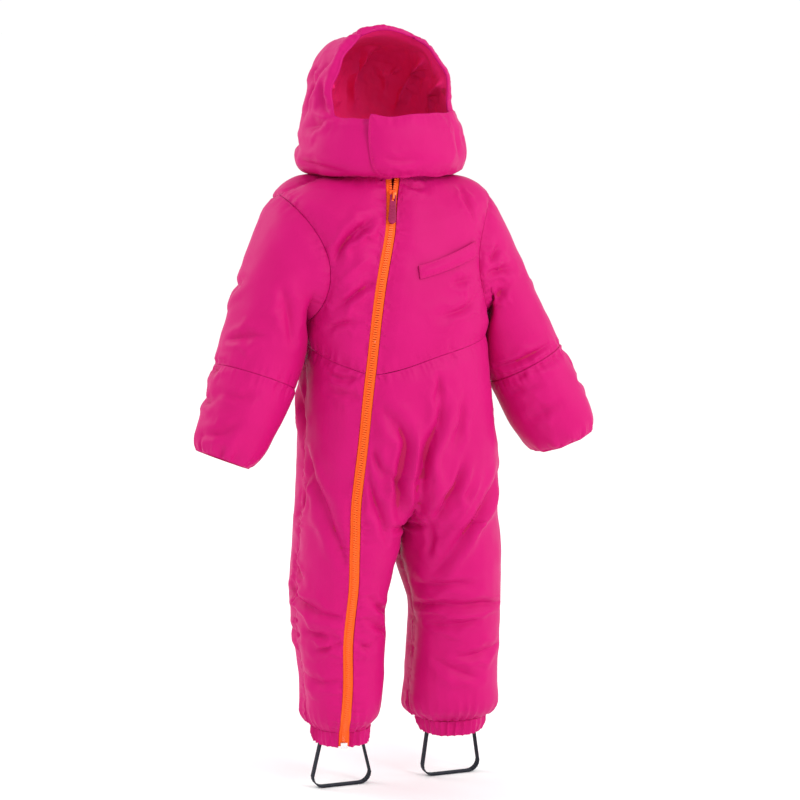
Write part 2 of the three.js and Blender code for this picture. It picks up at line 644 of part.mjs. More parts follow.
const hoodLevels = [0, 0.3, 1, 1.6, 2.3, 3.1, 4, 4.75, 5, 5.7, 6.4, 7.1, 7.8, 8.5, 9.1, 9.75, 10];
const chinLevels = hoodLevels.filter((level) => level <= chinTop);
const sideColumns = [0, 0.06, 0.2, 0.35, 0.5, 0.65, 0.8, 0.94, 1];

function hoodSide(sheet, side) {
  const columns = side > 0 ? sideColumns : [...sideColumns].reverse();
  return sheet.lattice(columns, [...hoodLevels].reverse(), (a, level) =>
    hoodPoint(side * mix(rimTurn, hoodSeamTurn(level), a), level),
  );
}
const chinEnd = 0.06; // how far past the middle the lower layer of the chin guard reaches
const hoodRight = hoodSide(new Sheet(), -1).lattice(
  [0, 0.16, 0.32, 0.48, 0.64, 0.8, 0.95, 1],
  [...chinLevels].reverse(),
  (a, level) => hoodPoint(mix(-rimTurn, chinEnd, a) || 1e-9, level),
);
const hoodLeft = hoodSide(new Sheet(), 1);

// The middle panel bridges the two side panels, from the face opening over the crown to the nape. across
// runs from -1 on the wearer's right to 1 on the left.
const hoodHeart = new THREE.Vector3(0, 14, 78);
const crownRound = 150;
function middlePoint(across, level, rim, a) {
  const turn = mix(rim, hoodSeamTurn(level), a);
  const [right, left] = [hoodPoint(-turn, level), hoodPoint(turn, level)];
  const half = right.distanceTo(left) / 2;
  const away = new THREE.Vector3(0, left.y - hoodHeart.y, left.z - hoodHeart.z).normalize();
  if (level < 3) away.set(0, 1, 0);
  const rise = (half ** 2 / crownRound) * (1 - across ** 2);
  const free = right.lerp(left, (across + 1) / 2).addScaledVector(away, rise);
  const behind = mix(1, turn, Math.abs(across));
  return hoodPoint(across < 0 ? -behind : behind, level).lerp(free, ease(level / 2));
}
// The middle panel's rows run back along the crown seam, and then down beside the side panels.
function middleLattice(sheet, columns, crown, levels, rim) {
  const rows = [...crown.map((a) => ({ level: 10, a })), ...levels.slice(1).map((level) => ({ level, a: 1 }))];
  return sheet.lattice(columns, rows, (across, { level, a }) => middlePoint(across, level, rim, a));
}
const middleColumns = [1, 0.8, 0.4, 0, -0.4, -0.8, -1];
const downLevels = [...hoodLevels].reverse();
const hoodMiddle = middleLattice(new Sheet(), middleColumns, sideColumns, downLevels, rimTurn);

mitre(hoodRight, hoodLeft, hoodMiddle);
add("hood_side_right", wallOn(hoodRight, { fold: hoodFold }), colours.shell);
add("hood_side_left", wallOn(hoodLeft, { fold: hoodFold }), colours.shell);
add("hood_middle", wallOn(hoodMiddle, { fold: hoodFold }), colours.shell);

// The lining is one thin dome just inside the three hood panels.
const liningGap = 2;
const liningRim = rimTurn + 0.008;
const lining = new Sheet();
const liningColumns = shares(4);
const liningLevels = [10, 9, 8, 7, 6, 5, 4, 3, 2, 1.2];
for (const side of [-1, 1]) {
  const columns = side > 0 ? liningColumns : [...liningColumns].reverse();
  lining.lattice(columns, liningLevels, (a, level) =>
    hoodPoint(side * mix(liningRim, hoodSeamTurn(level), a), level),
  );
}
middleLattice(lining, [1, 0.5, 0, -0.5, -1], liningColumns, liningLevels, liningRim);
add("hood_lining", wallOn(lining, { puff: 0, inside: 1.2, lift: -insideDepth - liningGap }), colours.lining);

// The chin flap lies over the collar, from behind the left side to past the middle of the front.
const flapLift = insideDepth + padding + 0.8;
const flapSheet = new Sheet().lattice(
  shares(13, 0.025),
  shares(5, 0.07).reverse(),
  (a, b) => {
    const level = mix(1.25, chinTop + 0.12, b);
    const corner = 0.022 * Math.abs(2 * b - 1) ** 6;
    return hoodPoint(mix(mix(-0.125, -0.17, b) + corner, 0.62, a) || 1e-9, level);
  },
);
add("chin_flap", wallOn(flapSheet, { lift: flapLift, rise: 16 }), colours.shell);

// Chest welt: a narrow slanting strip, made from the points of the chest and moved out.
const welt = { innerTurn: 0.022, innerTop: 92, outerTurn: 0.268, outerTop: 80, height: 16.5 };
const weltSheet = new Sheet().lattice(shares(6, 0.04), [0, 0.15, 0.5, 0.85, 1], (a, b) => {
  const top = mix(welt.innerTop, welt.outerTop, a);
  return bodyPoint(mix(welt.innerTurn, welt.outerTurn, a), top + welt.height * b);
});
add("chest_welt", wallOn(weltSheet, { lift: padding + 2.2, puff: 1, inside: 1.4, rise: 5 }), colours.shell);

// Zip: two tapes and two rows of teeth that part above the slider.
const zipEnd = bandEnd - 1;
function zipStrip(name, side, from, to, height, thick, colour) {
  const rows = [0, 9, sliderAt, ...Array.from({ length: 37 }, (_, i) => mix(28, zipEnd, i / 36))];
  const sheet = new Sheet().lattice(side > 0 ? [0, 1] : [1, 0], rows, (a, down) => {
    const parting = 1 - ease(down / sliderAt);
    const offset = side * (mix(from, to, a) + zipParting * parting);
    const turn = zipTurn(down);
    return bodyPoint(turn + offset * turnPerMm(turn, down), down);
  });
  add(name, wallOn(sheet, { lift: height, puff: 0, inside: thick }), colour);
}
for (const [word, side] of [["right", -1], ["left", 1]]) {
  zipStrip(`zip_tape_${word}`, side, teethHalf, zipHalf, -1.3, 1, colours.zip);
  zipStrip(`zip_teeth_${word}`, side, 0, teethHalf, 0.2, 2.2, colours.zip);
}

// The slider's own frame: down the zip, across it to the wearer's left, and out from the body.
const sliderSpot = bodyPoint(zipTurn(sliderAt), sliderAt);
const zipDown = bodyPoint(zipTurn(sliderAt + 9), sliderAt + 9)
  .sub(bodyPoint(zipTurn(sliderAt - 9), sliderAt - 9))
  .normalize();
const zipAcross = bodyPoint(zipTurn(sliderAt) + 0.02, sliderAt)
  .sub(bodyPoint(zipTurn(sliderAt) - 0.02, sliderAt))
  .normalize();
const zipOut = zipDown.clone().cross(zipAcross).negate().normalize();
zipAcross.copy(zipOut).cross(zipDown).negate().normalize();
if (zipOut.y > 0) zipOut.negate();
const zipFrame = new THREE.Matrix4()
  .makeBasis(zipAcross, zipOut.clone().cross(zipAcross), zipOut)
  .setPosition(sliderSpot);

function slab(outlinePoints, from, to, hole) {
  const shape = new THREE.Shape(outlinePoints.map(([x, y]) => new THREE.Vector2(x, y)));
  if (hole) shape.holes.push(new THREE.Path(hole.map(([x, y]) => new THREE.Vector2(x, y))));
  const solid = new THREE.ExtrudeGeometry(shape, { depth: to - from, bevelEnabled: false });
  return solid.translate(0, 0, from).applyMatrix4(zipFrame);
}

// In the slider's frame, x is across, y is up the zip and z is out: a plate that narrows down the zip,
// and the bridge over it that the puller hangs from.
const plateBottom = 0.7;
const plateTop = 2.4;
const plateOutline = [[-2.6, -7], [2.6, -7], [3.2, -1], [4.4, 4], [4.4, 5.6], [3.4, 7], [-3.4, 7], [-4.4, 5.6],
  [-4.4, 4], [-3.2, -1]];
const bridgeWide = 2.6;
const bridgeTop = 6.4;
const bridgeProfile = [[-4.6, 2], [4.6, 2], [4.6, 5.2], [3.6, bridgeTop], [-3.6, bridgeTop], [-4.6, 5.2]];
const bridgeWindow = [[-3.2, plateTop], [-3.2, 5], [3.2, 5], [3.2, plateTop]];
function sliderGeometry() {
  const plate = new solids.CrossSection([plateOutline])
    .extrude(plateTop - plateBottom)
    .translate([0, 0, plateBottom]);
  const bridge = new solids.CrossSection([bridgeProfile, bridgeWindow])
    .extrude(bridgeWide)
    .rotate([90, 0, 90])
    .translate([-bridgeWide / 2, 0, 0]);
  const { vertProperties, triVerts } = solids.Manifold.union([plate, bridge]).getMesh();
  const geometry = new THREE.BufferGeometry();
  geometry.setAttribute("position", new THREE.Float32BufferAttribute([...vertProperties], 3));
  geometry.setIndex([...triVerts]);
  geometry.computeVertexNormals();
  return geometry.applyMatrix4(zipFrame);
}
add("zip_slider", sliderGeometry(), colours.zip, 0.35, 0.3);

const pullerBar = 3.7; // height of the hinge line over the zip
const pullerLength = 34;
const pullerHalf = 4.6;
const pullerOutline = [];
for (let i = 0; i <= 8; i++) {
  const angle = Math.PI * (1 + i / 8);
  pullerOutline.push([pullerHalf * Math.cos(angle), -pullerLength + pullerHalf + pullerHalf * Math.sin(angle)]);
}
pullerOutline.push([3.6, -6], [3.6, 0.9], [-3.6, 0.9], [-3.6, -6]);
const pullerHole = [[-1.9, -0.9], [1.9, -0.9], [1.9, -6.6], [-1.9, -6.6]];
add("zip_puller", slab(pullerOutline, pullerBar - 0.9, pullerBar + 0.9, pullerHole), colours.puller, 0.45);

// Bottom stop: a small metal box across both rows of teeth at the ankle.
const stopSize = { wide: 8, deep: 4, high: 7 };
const stopForward = 2.9;
const stopDown = bandEnd - 4;
const stopSpot = bodyPoint(zipTurn(stopDown), stopDown);
const stop = new THREE.BoxGeometry(stopSize.wide, stopSize.deep, stopSize.high);
stop.translate(0, -stopForward, 0);
const stopAngle = Math.atan2(stopSpot.x - ankleX(-1), ankleY - stopSpot.y);
stop.rotateZ(stopAngle).translate(stopSpot.x, stopSpot.y, stopSpot.z);
add("zip_bottom_stop", stop, colours.metal, 0.3, 0.9);

// Underfoot straps: flat elastic that hangs in a loop from inside each ankle band.
const strapWidth = 10;
const strapThick = 1.5;
const strapTop = -656;
const strapBottom = -728;
const strapFootHalf = 37; // half the width of the loop under the foot
const strapBend = 14;
const strapEnds = { right: legRings.at(-1).right - 5, left: legRings.at(-1).left - 5 };

// The strap's middle line on one side, from inside the band to the middle of the sole.
function strapSide(topHalf, inset) {
  const points = [[topHalf - inset, strapTop], [topHalf - inset, -bandEnd - 1]];
  for (let i = 0; i <= 5; i++) {
    const angle = (Math.PI * i) / 10;
    const reach = strapBend - inset;
    points.push([
      strapFootHalf - strapBend + reach * Math.cos(angle),
      strapBottom + strapBend - reach * Math.sin(angle),
    ]);
  }
  return points;
}
function strap(name, side, topHalf) {
  const loop = [];
  for (const inset of [0, strapThick]) {
    const half = strapSide(topHalf, inset);
    const whole = [...half, ...half.map(([x, z]) => [-x, z]).reverse()];
    loop.push(...(inset ? whole.reverse() : whole));
  }
  const shape = new THREE.Shape(loop.map(([x, z]) => new THREE.Vector2(x, z)));
  const solid = new THREE.ExtrudeGeometry(shape, { depth: strapWidth, bevelEnabled: false });
  solid.rotateX(Math.PI / 2).translate(ankleX(side), ankleY + strapWidth / 2, 0);
  add(name, solid, colours.elastic, 0.9);
}
strap("foot_strap_right", -1, strapEnds.right);
strap("foot_strap_left", 1, strapEnds.left);

export default suit;
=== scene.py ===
import math

import bmesh
import bpy
import numpy as np
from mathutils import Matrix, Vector, noise
from mathutils.bvhtree import BVHTree
from mathutils.kdtree import KDTree


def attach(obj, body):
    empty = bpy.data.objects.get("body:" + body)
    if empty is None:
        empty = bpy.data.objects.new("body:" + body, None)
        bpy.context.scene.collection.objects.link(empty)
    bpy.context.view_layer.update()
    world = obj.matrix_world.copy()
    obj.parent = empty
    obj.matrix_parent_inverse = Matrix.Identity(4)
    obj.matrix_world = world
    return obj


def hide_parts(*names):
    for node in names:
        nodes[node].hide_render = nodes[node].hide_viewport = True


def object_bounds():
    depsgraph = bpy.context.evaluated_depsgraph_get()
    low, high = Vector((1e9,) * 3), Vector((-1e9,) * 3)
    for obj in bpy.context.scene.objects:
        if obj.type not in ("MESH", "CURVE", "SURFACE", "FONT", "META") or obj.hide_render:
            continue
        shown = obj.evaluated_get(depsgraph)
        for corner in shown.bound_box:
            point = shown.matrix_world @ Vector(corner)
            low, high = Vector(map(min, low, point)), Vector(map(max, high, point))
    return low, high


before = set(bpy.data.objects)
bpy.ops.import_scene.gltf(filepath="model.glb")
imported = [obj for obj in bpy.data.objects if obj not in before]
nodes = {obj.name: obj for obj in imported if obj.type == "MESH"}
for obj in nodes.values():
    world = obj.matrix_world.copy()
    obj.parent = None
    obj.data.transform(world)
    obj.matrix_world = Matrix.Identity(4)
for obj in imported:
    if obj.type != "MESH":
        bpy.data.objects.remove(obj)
cadBox = [list(corner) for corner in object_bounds()]
mm = 0.001
bpy.ops.object.select_all(action="DESELECT")
print("frame loaded")


def newMaterial(name):
    material = bpy.data.materials.new(name)
    material.use_nodes = True
    tree = material.node_tree
    shader = tree.nodes["Principled BSDF"]
    return material, tree, shader


def addNode(tree, kind, **values):
    node = tree.nodes.new(kind)
    for key, value in values.items():
        if key in node.inputs:
            node.inputs[key].default_value = value
        else:
            setattr(node, key, value)
    return node


def mixTwo(tree, share, first, second):
    # colours first and second, mixed by the socket share
    node = tree.nodes.new("ShaderNodeMix")
    node.data_type = "RGBA"
    tree.links.new(share, node.inputs[0])
    for slot, value in ((6, first), (7, second)):
        if hasattr(value, "links"):
            tree.links.new(value, node.inputs[slot])
        else:
            node.inputs[slot].default_value = (*value, 1)
    return node.outputs[2]


satin = {
    "colour": (0.50, 0.003, 0.13),
    "bright": (0.56, 0.005, 0.156),
    "roughness": 0.5,
    "gloss": 0.1,
    "sheen": 0.05,
    "weave": 0.55,       # mm from thread to thread
    "weaveHeight": 0.05,
    "crinkle": 9.0,      # mm across the small crinkles
    "crinkleHeight": 0.3,
}


def satinNylon(name, look):
    material, tree, shader = newMaterial(name)
    place = addNode(tree, "ShaderNodeTexCoord").outputs["Object"]
    patches = addNode(tree, "ShaderNodeTexNoise", Scale=22.0, Detail=3.0)
    tree.links.new(place, patches.inputs["Vector"])
    colour = mixTwo(tree, patches.outputs["Fac"], look["colour"], look["bright"])
    tree.links.new(colour, shader.inputs["Base Color"])
    shader.inputs["Roughness"].default_value = look["roughness"]
    shader.inputs["Sheen Weight"].default_value = look["sheen"]
    shader.inputs["Sheen Roughness"].default_value = 0.35
    shader.inputs["Sheen Tint"].default_value = (1.0, 0.35, 0.6, 1)
    shader.inputs["Specular IOR Level"].default_value = look["gloss"]
    # two crossing sets of threads
    threads = []
    for axis in ("X", "Z"):
        wave = addNode(tree, "ShaderNodeTexWave", Scale=1 / (look["weave"] * mm) / 6.3, Distortion=0.4)
        wave.bands_direction = axis
        tree.links.new(place, wave.inputs["Vector"])
        threads.append(wave.outputs["Fac"])
    cross = addNode(tree, "ShaderNodeMath", operation="MULTIPLY")
    tree.links.new(threads[0], cross.inputs[0])
    tree.links.new(threads[1], cross.inputs[1])
    weave = addNode(tree, "ShaderNodeBump", Strength=0.25, Distance=look["weaveHeight"] * mm)
    tree.links.new(cross.outputs[0], weave.inputs["Height"])
    size = look["crinkle"] * mm
    crinkle = addNode(tree, "ShaderNodeTexNoise", Scale=1 / size, Detail=4.0, Distortion=0.6)
    tree.links.new(place, crinkle.inputs["Vector"])
    soft = addNode(tree, "ShaderNodeBump", Strength=0.5, Distance=look["crinkleHeight"] * mm)
    tree.links.new(crinkle.outputs["Fac"], soft.inputs["Height"])
    tree.links.new(soft.outputs["Normal"], weave.inputs["Normal"])
    tree.links.new(weave.outputs["Normal"], shader.inputs["Normal"])
    return material


def wovenTape(name, dark, light, pitch, roughness):
    # ribbed webbing: fine ribs across, with painted shade between them: the colour goes from the dark tone
    # in the grooves to the light tone on the rib tops
    material, tree, shader = newMaterial(name)
    place = addNode(tree, "ShaderNodeTexCoord").outputs["Object"]
    ribs = addNode(tree, "ShaderNodeTexWave", Scale=1 / (pitch * mm) / 6.3, Distortion=0.6, Detail=1.0)
    ribs.bands_direction = "Z"
    tree.links.new(place, ribs.inputs["Vector"])
    # painted shade: the rib wave that raises the bump also darkens the colour in the grooves
    tree.links.new(mixTwo(tree, ribs.outputs["Fac"], dark, light), shader.inputs["Base Color"])
    shader.inputs["Roughness"].default_value = roughness
    shader.inputs["Specular IOR Level"].default_value = 0.15
    bump = addNode(tree, "ShaderNodeBump", Strength=0.6, Distance=0.2 * mm)
    tree.links.new(ribs.outputs["Fac"], bump.inputs["Height"])
    tree.links.new(bump.outputs["Normal"], shader.inputs["Normal"])
    return material


def hardFinish(name, colour, roughness, metallic=0.0, grain=0.06, gloss=0.25):
    material, tree, shader = newMaterial(name)
    place = addNode(tree, "ShaderNodeTexCoord").outputs["Object"]
    spots = addNode(tree, "ShaderNodeTexNoise", Scale=900.0, Detail=3.0)
    tree.links.new(place, spots.inputs["Vector"])
    worn = tuple(min(c * 1.15 + 0.01, 1) for c in colour)
    tree.links.new(mixTwo(tree, spots.outputs["Fac"], colour, worn), shader.inputs["Base Color"])
    shader.inputs["Roughness"].default_value = roughness
    shader.inputs["Metallic"].default_value = metallic
    shader.inputs["Specular IOR Level"].default_value = gloss
    bump = addNode(tree, "ShaderNodeBump", Strength=0.3, Distance=grain * mm)
    tree.links.new(spots.outputs["Fac"], bump.inputs["Height"])
    tree.links.new(bump.outputs["Normal"], shader.inputs["Normal"])
    return material


shellCloth = satinNylon("satin nylon", satin)
insideCloth = satinNylon("plain inside cloth", {
    **satin, "colour": (0.42, 0.006, 0.08), "bright": (0.5, 0.01, 0.1),
})
liningCloth = satinNylon("crimson lining", {
    **satin, "colour": (0.80, 0.012, 0.145), "bright": (0.9, 0.024, 0.2), "roughness": 0.65, "gloss": 0.1,
})
threadNylon = hardFinish("tonal thread", (0.5, 0.006, 0.12), 0.5)
# for each tape the first colour is the painted shade between its ribs and the second its colour on the rib
# tops
tapeCloth = wovenTape("orange zip tape", (0.9, 0.10, 0.008), (1.0, 0.16, 0.02), 0.8, 0.7)
elasticCloth = wovenTape("black elastic", (0.008, 0.009, 0.014), (0.03, 0.032, 0.045), 1.1, 0.8)
toothPlastic = hardFinish("orange moulded teeth", (0.95, 0.12, 0.01), 0.4)
sliderMetal = hardFinish("orange lacquer", (0.85, 0.10, 0.012), 0.3, 0.3)
pullerPlastic = hardFinish("dark magenta grip", (0.27, 0.004, 0.06), 0.5, gloss=0.15)
clampMetal = hardFinish("bright clamp", (0.72, 0.72, 0.74), 0.25, 1.0)
print("finishes made")


def dropSelection():
    bpy.ops.object.select_all(action="DESELECT")


def newPiece(name, mesh):
    piece = bpy.data.objects.new(name, mesh)
    bpy.context.scene.collection.objects.link(piece)
    return piece


def applyModifier(piece, kind, **values):
    dropSelection()
    bpy.context.view_layer.objects.active = piece
    piece.select_set(True)
    modifier = piece.modifiers.new(kind.lower(), kind)
    for key, value in values.items():
        setattr(modifier, key, value)
    bpy.ops.object.modifier_apply(modifier=modifier.name)
    piece.select_set(False)


def mergedCopy(node, name):
    mesh = nodes[node].data.copy()
    mesh.name = name
    mesh.materials.clear()
    bm = bmesh.new()
    bm.from_mesh(mesh)
    bmesh.ops.remove_doubles(bm, verts=bm.verts, dist=0.02 * mm)
    bm.to_mesh(mesh)
    bm.free()
    return newPiece(name, mesh)


def floodWalls(bm, rim):
    left, walls = set(bm.faces) - rim, []
    while left:
        group, front = [], [left.pop()]
        while front:
            face = front.pop()
            group.append(face)
            for edge in face.edges:
                for other in edge.link_faces:
                    if other in left:
                        left.discard(other)
                        front.append(other)
        walls.append(group)
    return sorted(walls, key=len, reverse=True)[:2]


def rimTurns(bm, rim, outer):
    # the places where the outer edge of the piece turns a corner
    corners = []
    for vert in bm.verts:
        edges = [e for e in vert.link_edges if {f in rim for f in e.link_faces} == {True, False}
                 and any(f in outer for f in e.link_faces)]
        if len(edges) == 2:
            a, b = (e.other_vert(vert).co - vert.co for e in edges)
            if math.degrees(a.angle(b)) < 148:
                corners.append(vert.co.copy())
    return corners


def wallCopy(node, name, seamWall):
    # The solid's own mesh, merged. Slot 0 is the skin that shows, slot 1 its rim and other wall.
    piece = mergedCopy(node, name)
    bm = bmesh.new()
    bm.from_mesh(piece.data)
    rim = {f for f in bm.faces if any(abs(e.calc_length() - seamWall) < 0.03 * mm for e in f.edges)}
    middle = sum((v.co for v in bm.verts), Vector()) / len(bm.verts)
    outward = lambda wall: sum(f.calc_area() * f.normal.dot(f.calc_center_median() - middle) for f in wall)
    pick = min if node == "hood_lining" else max
    outer = set(pick(floodWalls(bm, rim), key=outward))
    crease = bm.edges.layers.float.new("crease_edge")
    bm.verts.layers.float.new("crease_vert")
    for face in bm.faces:
        face.material_index = 0 if face in outer else 1
        face.smooth = True
    for edge in bm.edges:
        if len({f in rim for f in edge.link_faces}) > 1:
            edge[crease] = 1
    corners = rimTurns(bm, rim, outer)
    for group in (outer, rim, set(bm.faces) - outer - rim):
        bmesh.ops.join_triangles(
            bm, faces=[f for f in group if f.is_valid], angle_face_threshold=1.2, angle_shape_threshold=1.4
        )
    bm.to_mesh(piece.data)
    bm.free()
    return piece, corners


def holdCorners(piece, tree):
    # every piece keeps the corner points of its neighbours as well, so that seams stay shut
    bm = bmesh.new()
    bm.from_mesh(piece.data)
    hold = bm.verts.layers.float["crease_vert"]
    for vert in bm.verts:
        if tree.find(vert.co)[2] < 2.9 * mm:
            vert[hold] = 1
    bm.to_mesh(piece.data)
    bm.free()


def refineSkin(piece, cuts):
    # only the outer skin gets the finer net
    bm = bmesh.new()
    bm.from_mesh(piece.data)
    edges = [e for e in bm.edges if any(f.material_index == 0 for f in e.link_faces)]
    bmesh.ops.subdivide_edges(bm, edges=edges, cuts=cuts, use_grid_fill=True)
    bm.to_mesh(piece.data)
    bm.free()


def readMesh(mesh):
    count = len(mesh.vertices)
    co, normals, edges = np.zeros(count * 3), np.zeros(count * 3), np.zeros(len(mesh.edges) * 2, int)
    mesh.vertices.foreach_get("co", co)
    mesh.vertex_normals.foreach_get("vector", normals)
    mesh.edges.foreach_get("vertices", edges)
    return co.reshape(-1, 3), normals.reshape(-1, 3), edges.reshape(-1, 2)


def writeMesh(mesh, co):
    mesh.vertices.foreach_set("co", co.ravel())
    mesh.update()


def skinVerts(mesh):
    # which points are on the outer skin, and which of these are on its edge
    onSkin, onRest = np.zeros(len(mesh.vertices), bool), np.zeros(len(mesh.vertices), bool)
    for face in mesh.polygons:
        (onSkin if face.material_index == 0 else onRest)[list(face.vertices)] = True
    return onSkin, onSkin & onRest


def relax(co, edges, free, steps, share=0.5):
    degree = np.bincount(edges.ravel(), minlength=len(co))[:, None]
    for _ in range(steps):
        total = np.zeros_like(co)
        for axis in range(3):
            total[:, axis] = np.bincount(edges[:, 0], co[edges[:, 1], axis], len(co))
            total[:, axis] += np.bincount(edges[:, 1], co[edges[:, 0], axis], len(co))
        co = np.where(free[:, None], co + share * (total / np.maximum(degree, 1) - co), co)
    return co


def ease(x):
    x = np.clip(x, 0, 1)
    return x * x * (3 - 2 * x)


def smoothCurve(points, count):
    # a smooth curve through the points, as an even run of places on it
    points = np.array(points, float)
    ends = np.vstack([2 * points[0] - points[1], points, 2 * points[-1] - points[-2]])
    places = []
    for i in range(1, len(ends) - 2):
        a, b, c, d = ends[i - 1:i + 3]
        for t in np.linspace(0, 1, 16, endpoint=False):
            places.append(0.5 * (2 * b + (c - a) * t + (2 * a - 5 * b + 4 * c - d) * t ** 2
                                 + (3 * b - a - 3 * c + d) * t ** 3))
    places = np.array(places + [points[-1]])
    run = np.concatenate([[0], np.cumsum(np.linalg.norm(np.diff(places, axis=0), axis=1))])
    return np.stack([np.interp(np.linspace(0, run[-1], count), run, places[:, k]) for k in range(3)], 1)


def lookFrom(azimuth):
    # the direction from the object to a viewer at this azimuth, and the direction across that view
    turn = math.radians(azimuth)
    return Vector((math.sin(turn), -math.cos(turn), 0)), Vector((math.cos(turn), math.sin(turn), 0))


def onCloth(tree, azimuth, across, height):
    # the place on the cloth that a viewer at this azimuth sees at these millimetres
    toViewer, sideways = lookFrom(azimuth)
    start = sideways * across * mm + Vector((0, 0, height * mm)) + toViewer * 0.5
    return tree.ray_cast(start, -toViewer)[0]


def foldOffset(co, line, width, depth):
    # A trough along the line, with a soft rise on both sides that is larger below it.
    # A negative depth is a ridge.
    width = foldNarrowing * width
    reach = 3.4 * width
    near = np.all((co > line.min(0) - reach) & (co < line.max(0) + reach), axis=1)
    offset = np.zeros(len(co))
    if not near.any():
        return offset
    apart = np.linalg.norm(co[near][:, None, :] - line[None], axis=2)
    nearest = apart.argmin(1)
    along = nearest / (len(line) - 1)
    wander = 1 + 0.22 * np.sin(7 * along + 900 * line[0, 0]) + 0.12 * np.sin(17 * along + 700 * line[0, 2])
    q = apart[np.arange(len(apart)), nearest] / width * wander
    below = co[near][:, 2] < line[nearest][:, 2]
    trough = 0.52 * np.exp(-(q ** 2)) + 0.48 * np.exp(-((q / 0.36) ** 2))
    shape = np.where(below, 0.45, 0.28) * np.exp(-((q - 1.8) ** 2) / 0.8) - trough
    taper = np.sin(np.pi * (0.05 + 0.9 * along)) ** 0.7
    offset[near] = foldGain * depth * taper * shape
    return offset


def noiseAt(points, size, shift=0.0):
    return np.array([noise.noise(Vector(p) / size + Vector((shift, 0, 0))) for p in points])


foldGain = 2.4
foldNarrowing = 0.82

cloth = {
    # node: wall at the seam, cuts in the skin, seam pucker in mm
    "chest_right": (2.4, 4, 0.7),
    "chest_left": (2.4, 4, 0.7),
    "back_yoke": (2.4, 3, 0.7),
    "front_right_outer_leg": (2.4, 4, 0.8),
    "front_belly_and_left_leg": (2.4, 4, 0.8),
    "seat_and_right_leg_back": (2.4, 3, 0.8),
    "seat_and_left_leg_back": (2.4, 3, 0.8),
    "upper_sleeve_right": (2.4, 3, 0.7),
    "upper_sleeve_left": (2.4, 3, 0.7),
    "lower_sleeve_right": (2.4, 2, 0.8),
    "lower_sleeve_left": (2.4, 2, 0.8),
    "hood_side_right": (2.4, 3, 0.6),
    "hood_side_left": (2.4, 3, 0.6),
    "hood_middle": (2.4, 3, 0.6),
    "chin_flap": (2.4, 3, 0.4),
    "chest_welt": (1.4, 3, 0.15),
    "ankle_band_right": (2.2, 2, 0.5),
    "ankle_band_left": (2.2, 2, 0.5),
    "hood_lining": (1.2, 7, 0.5),
}

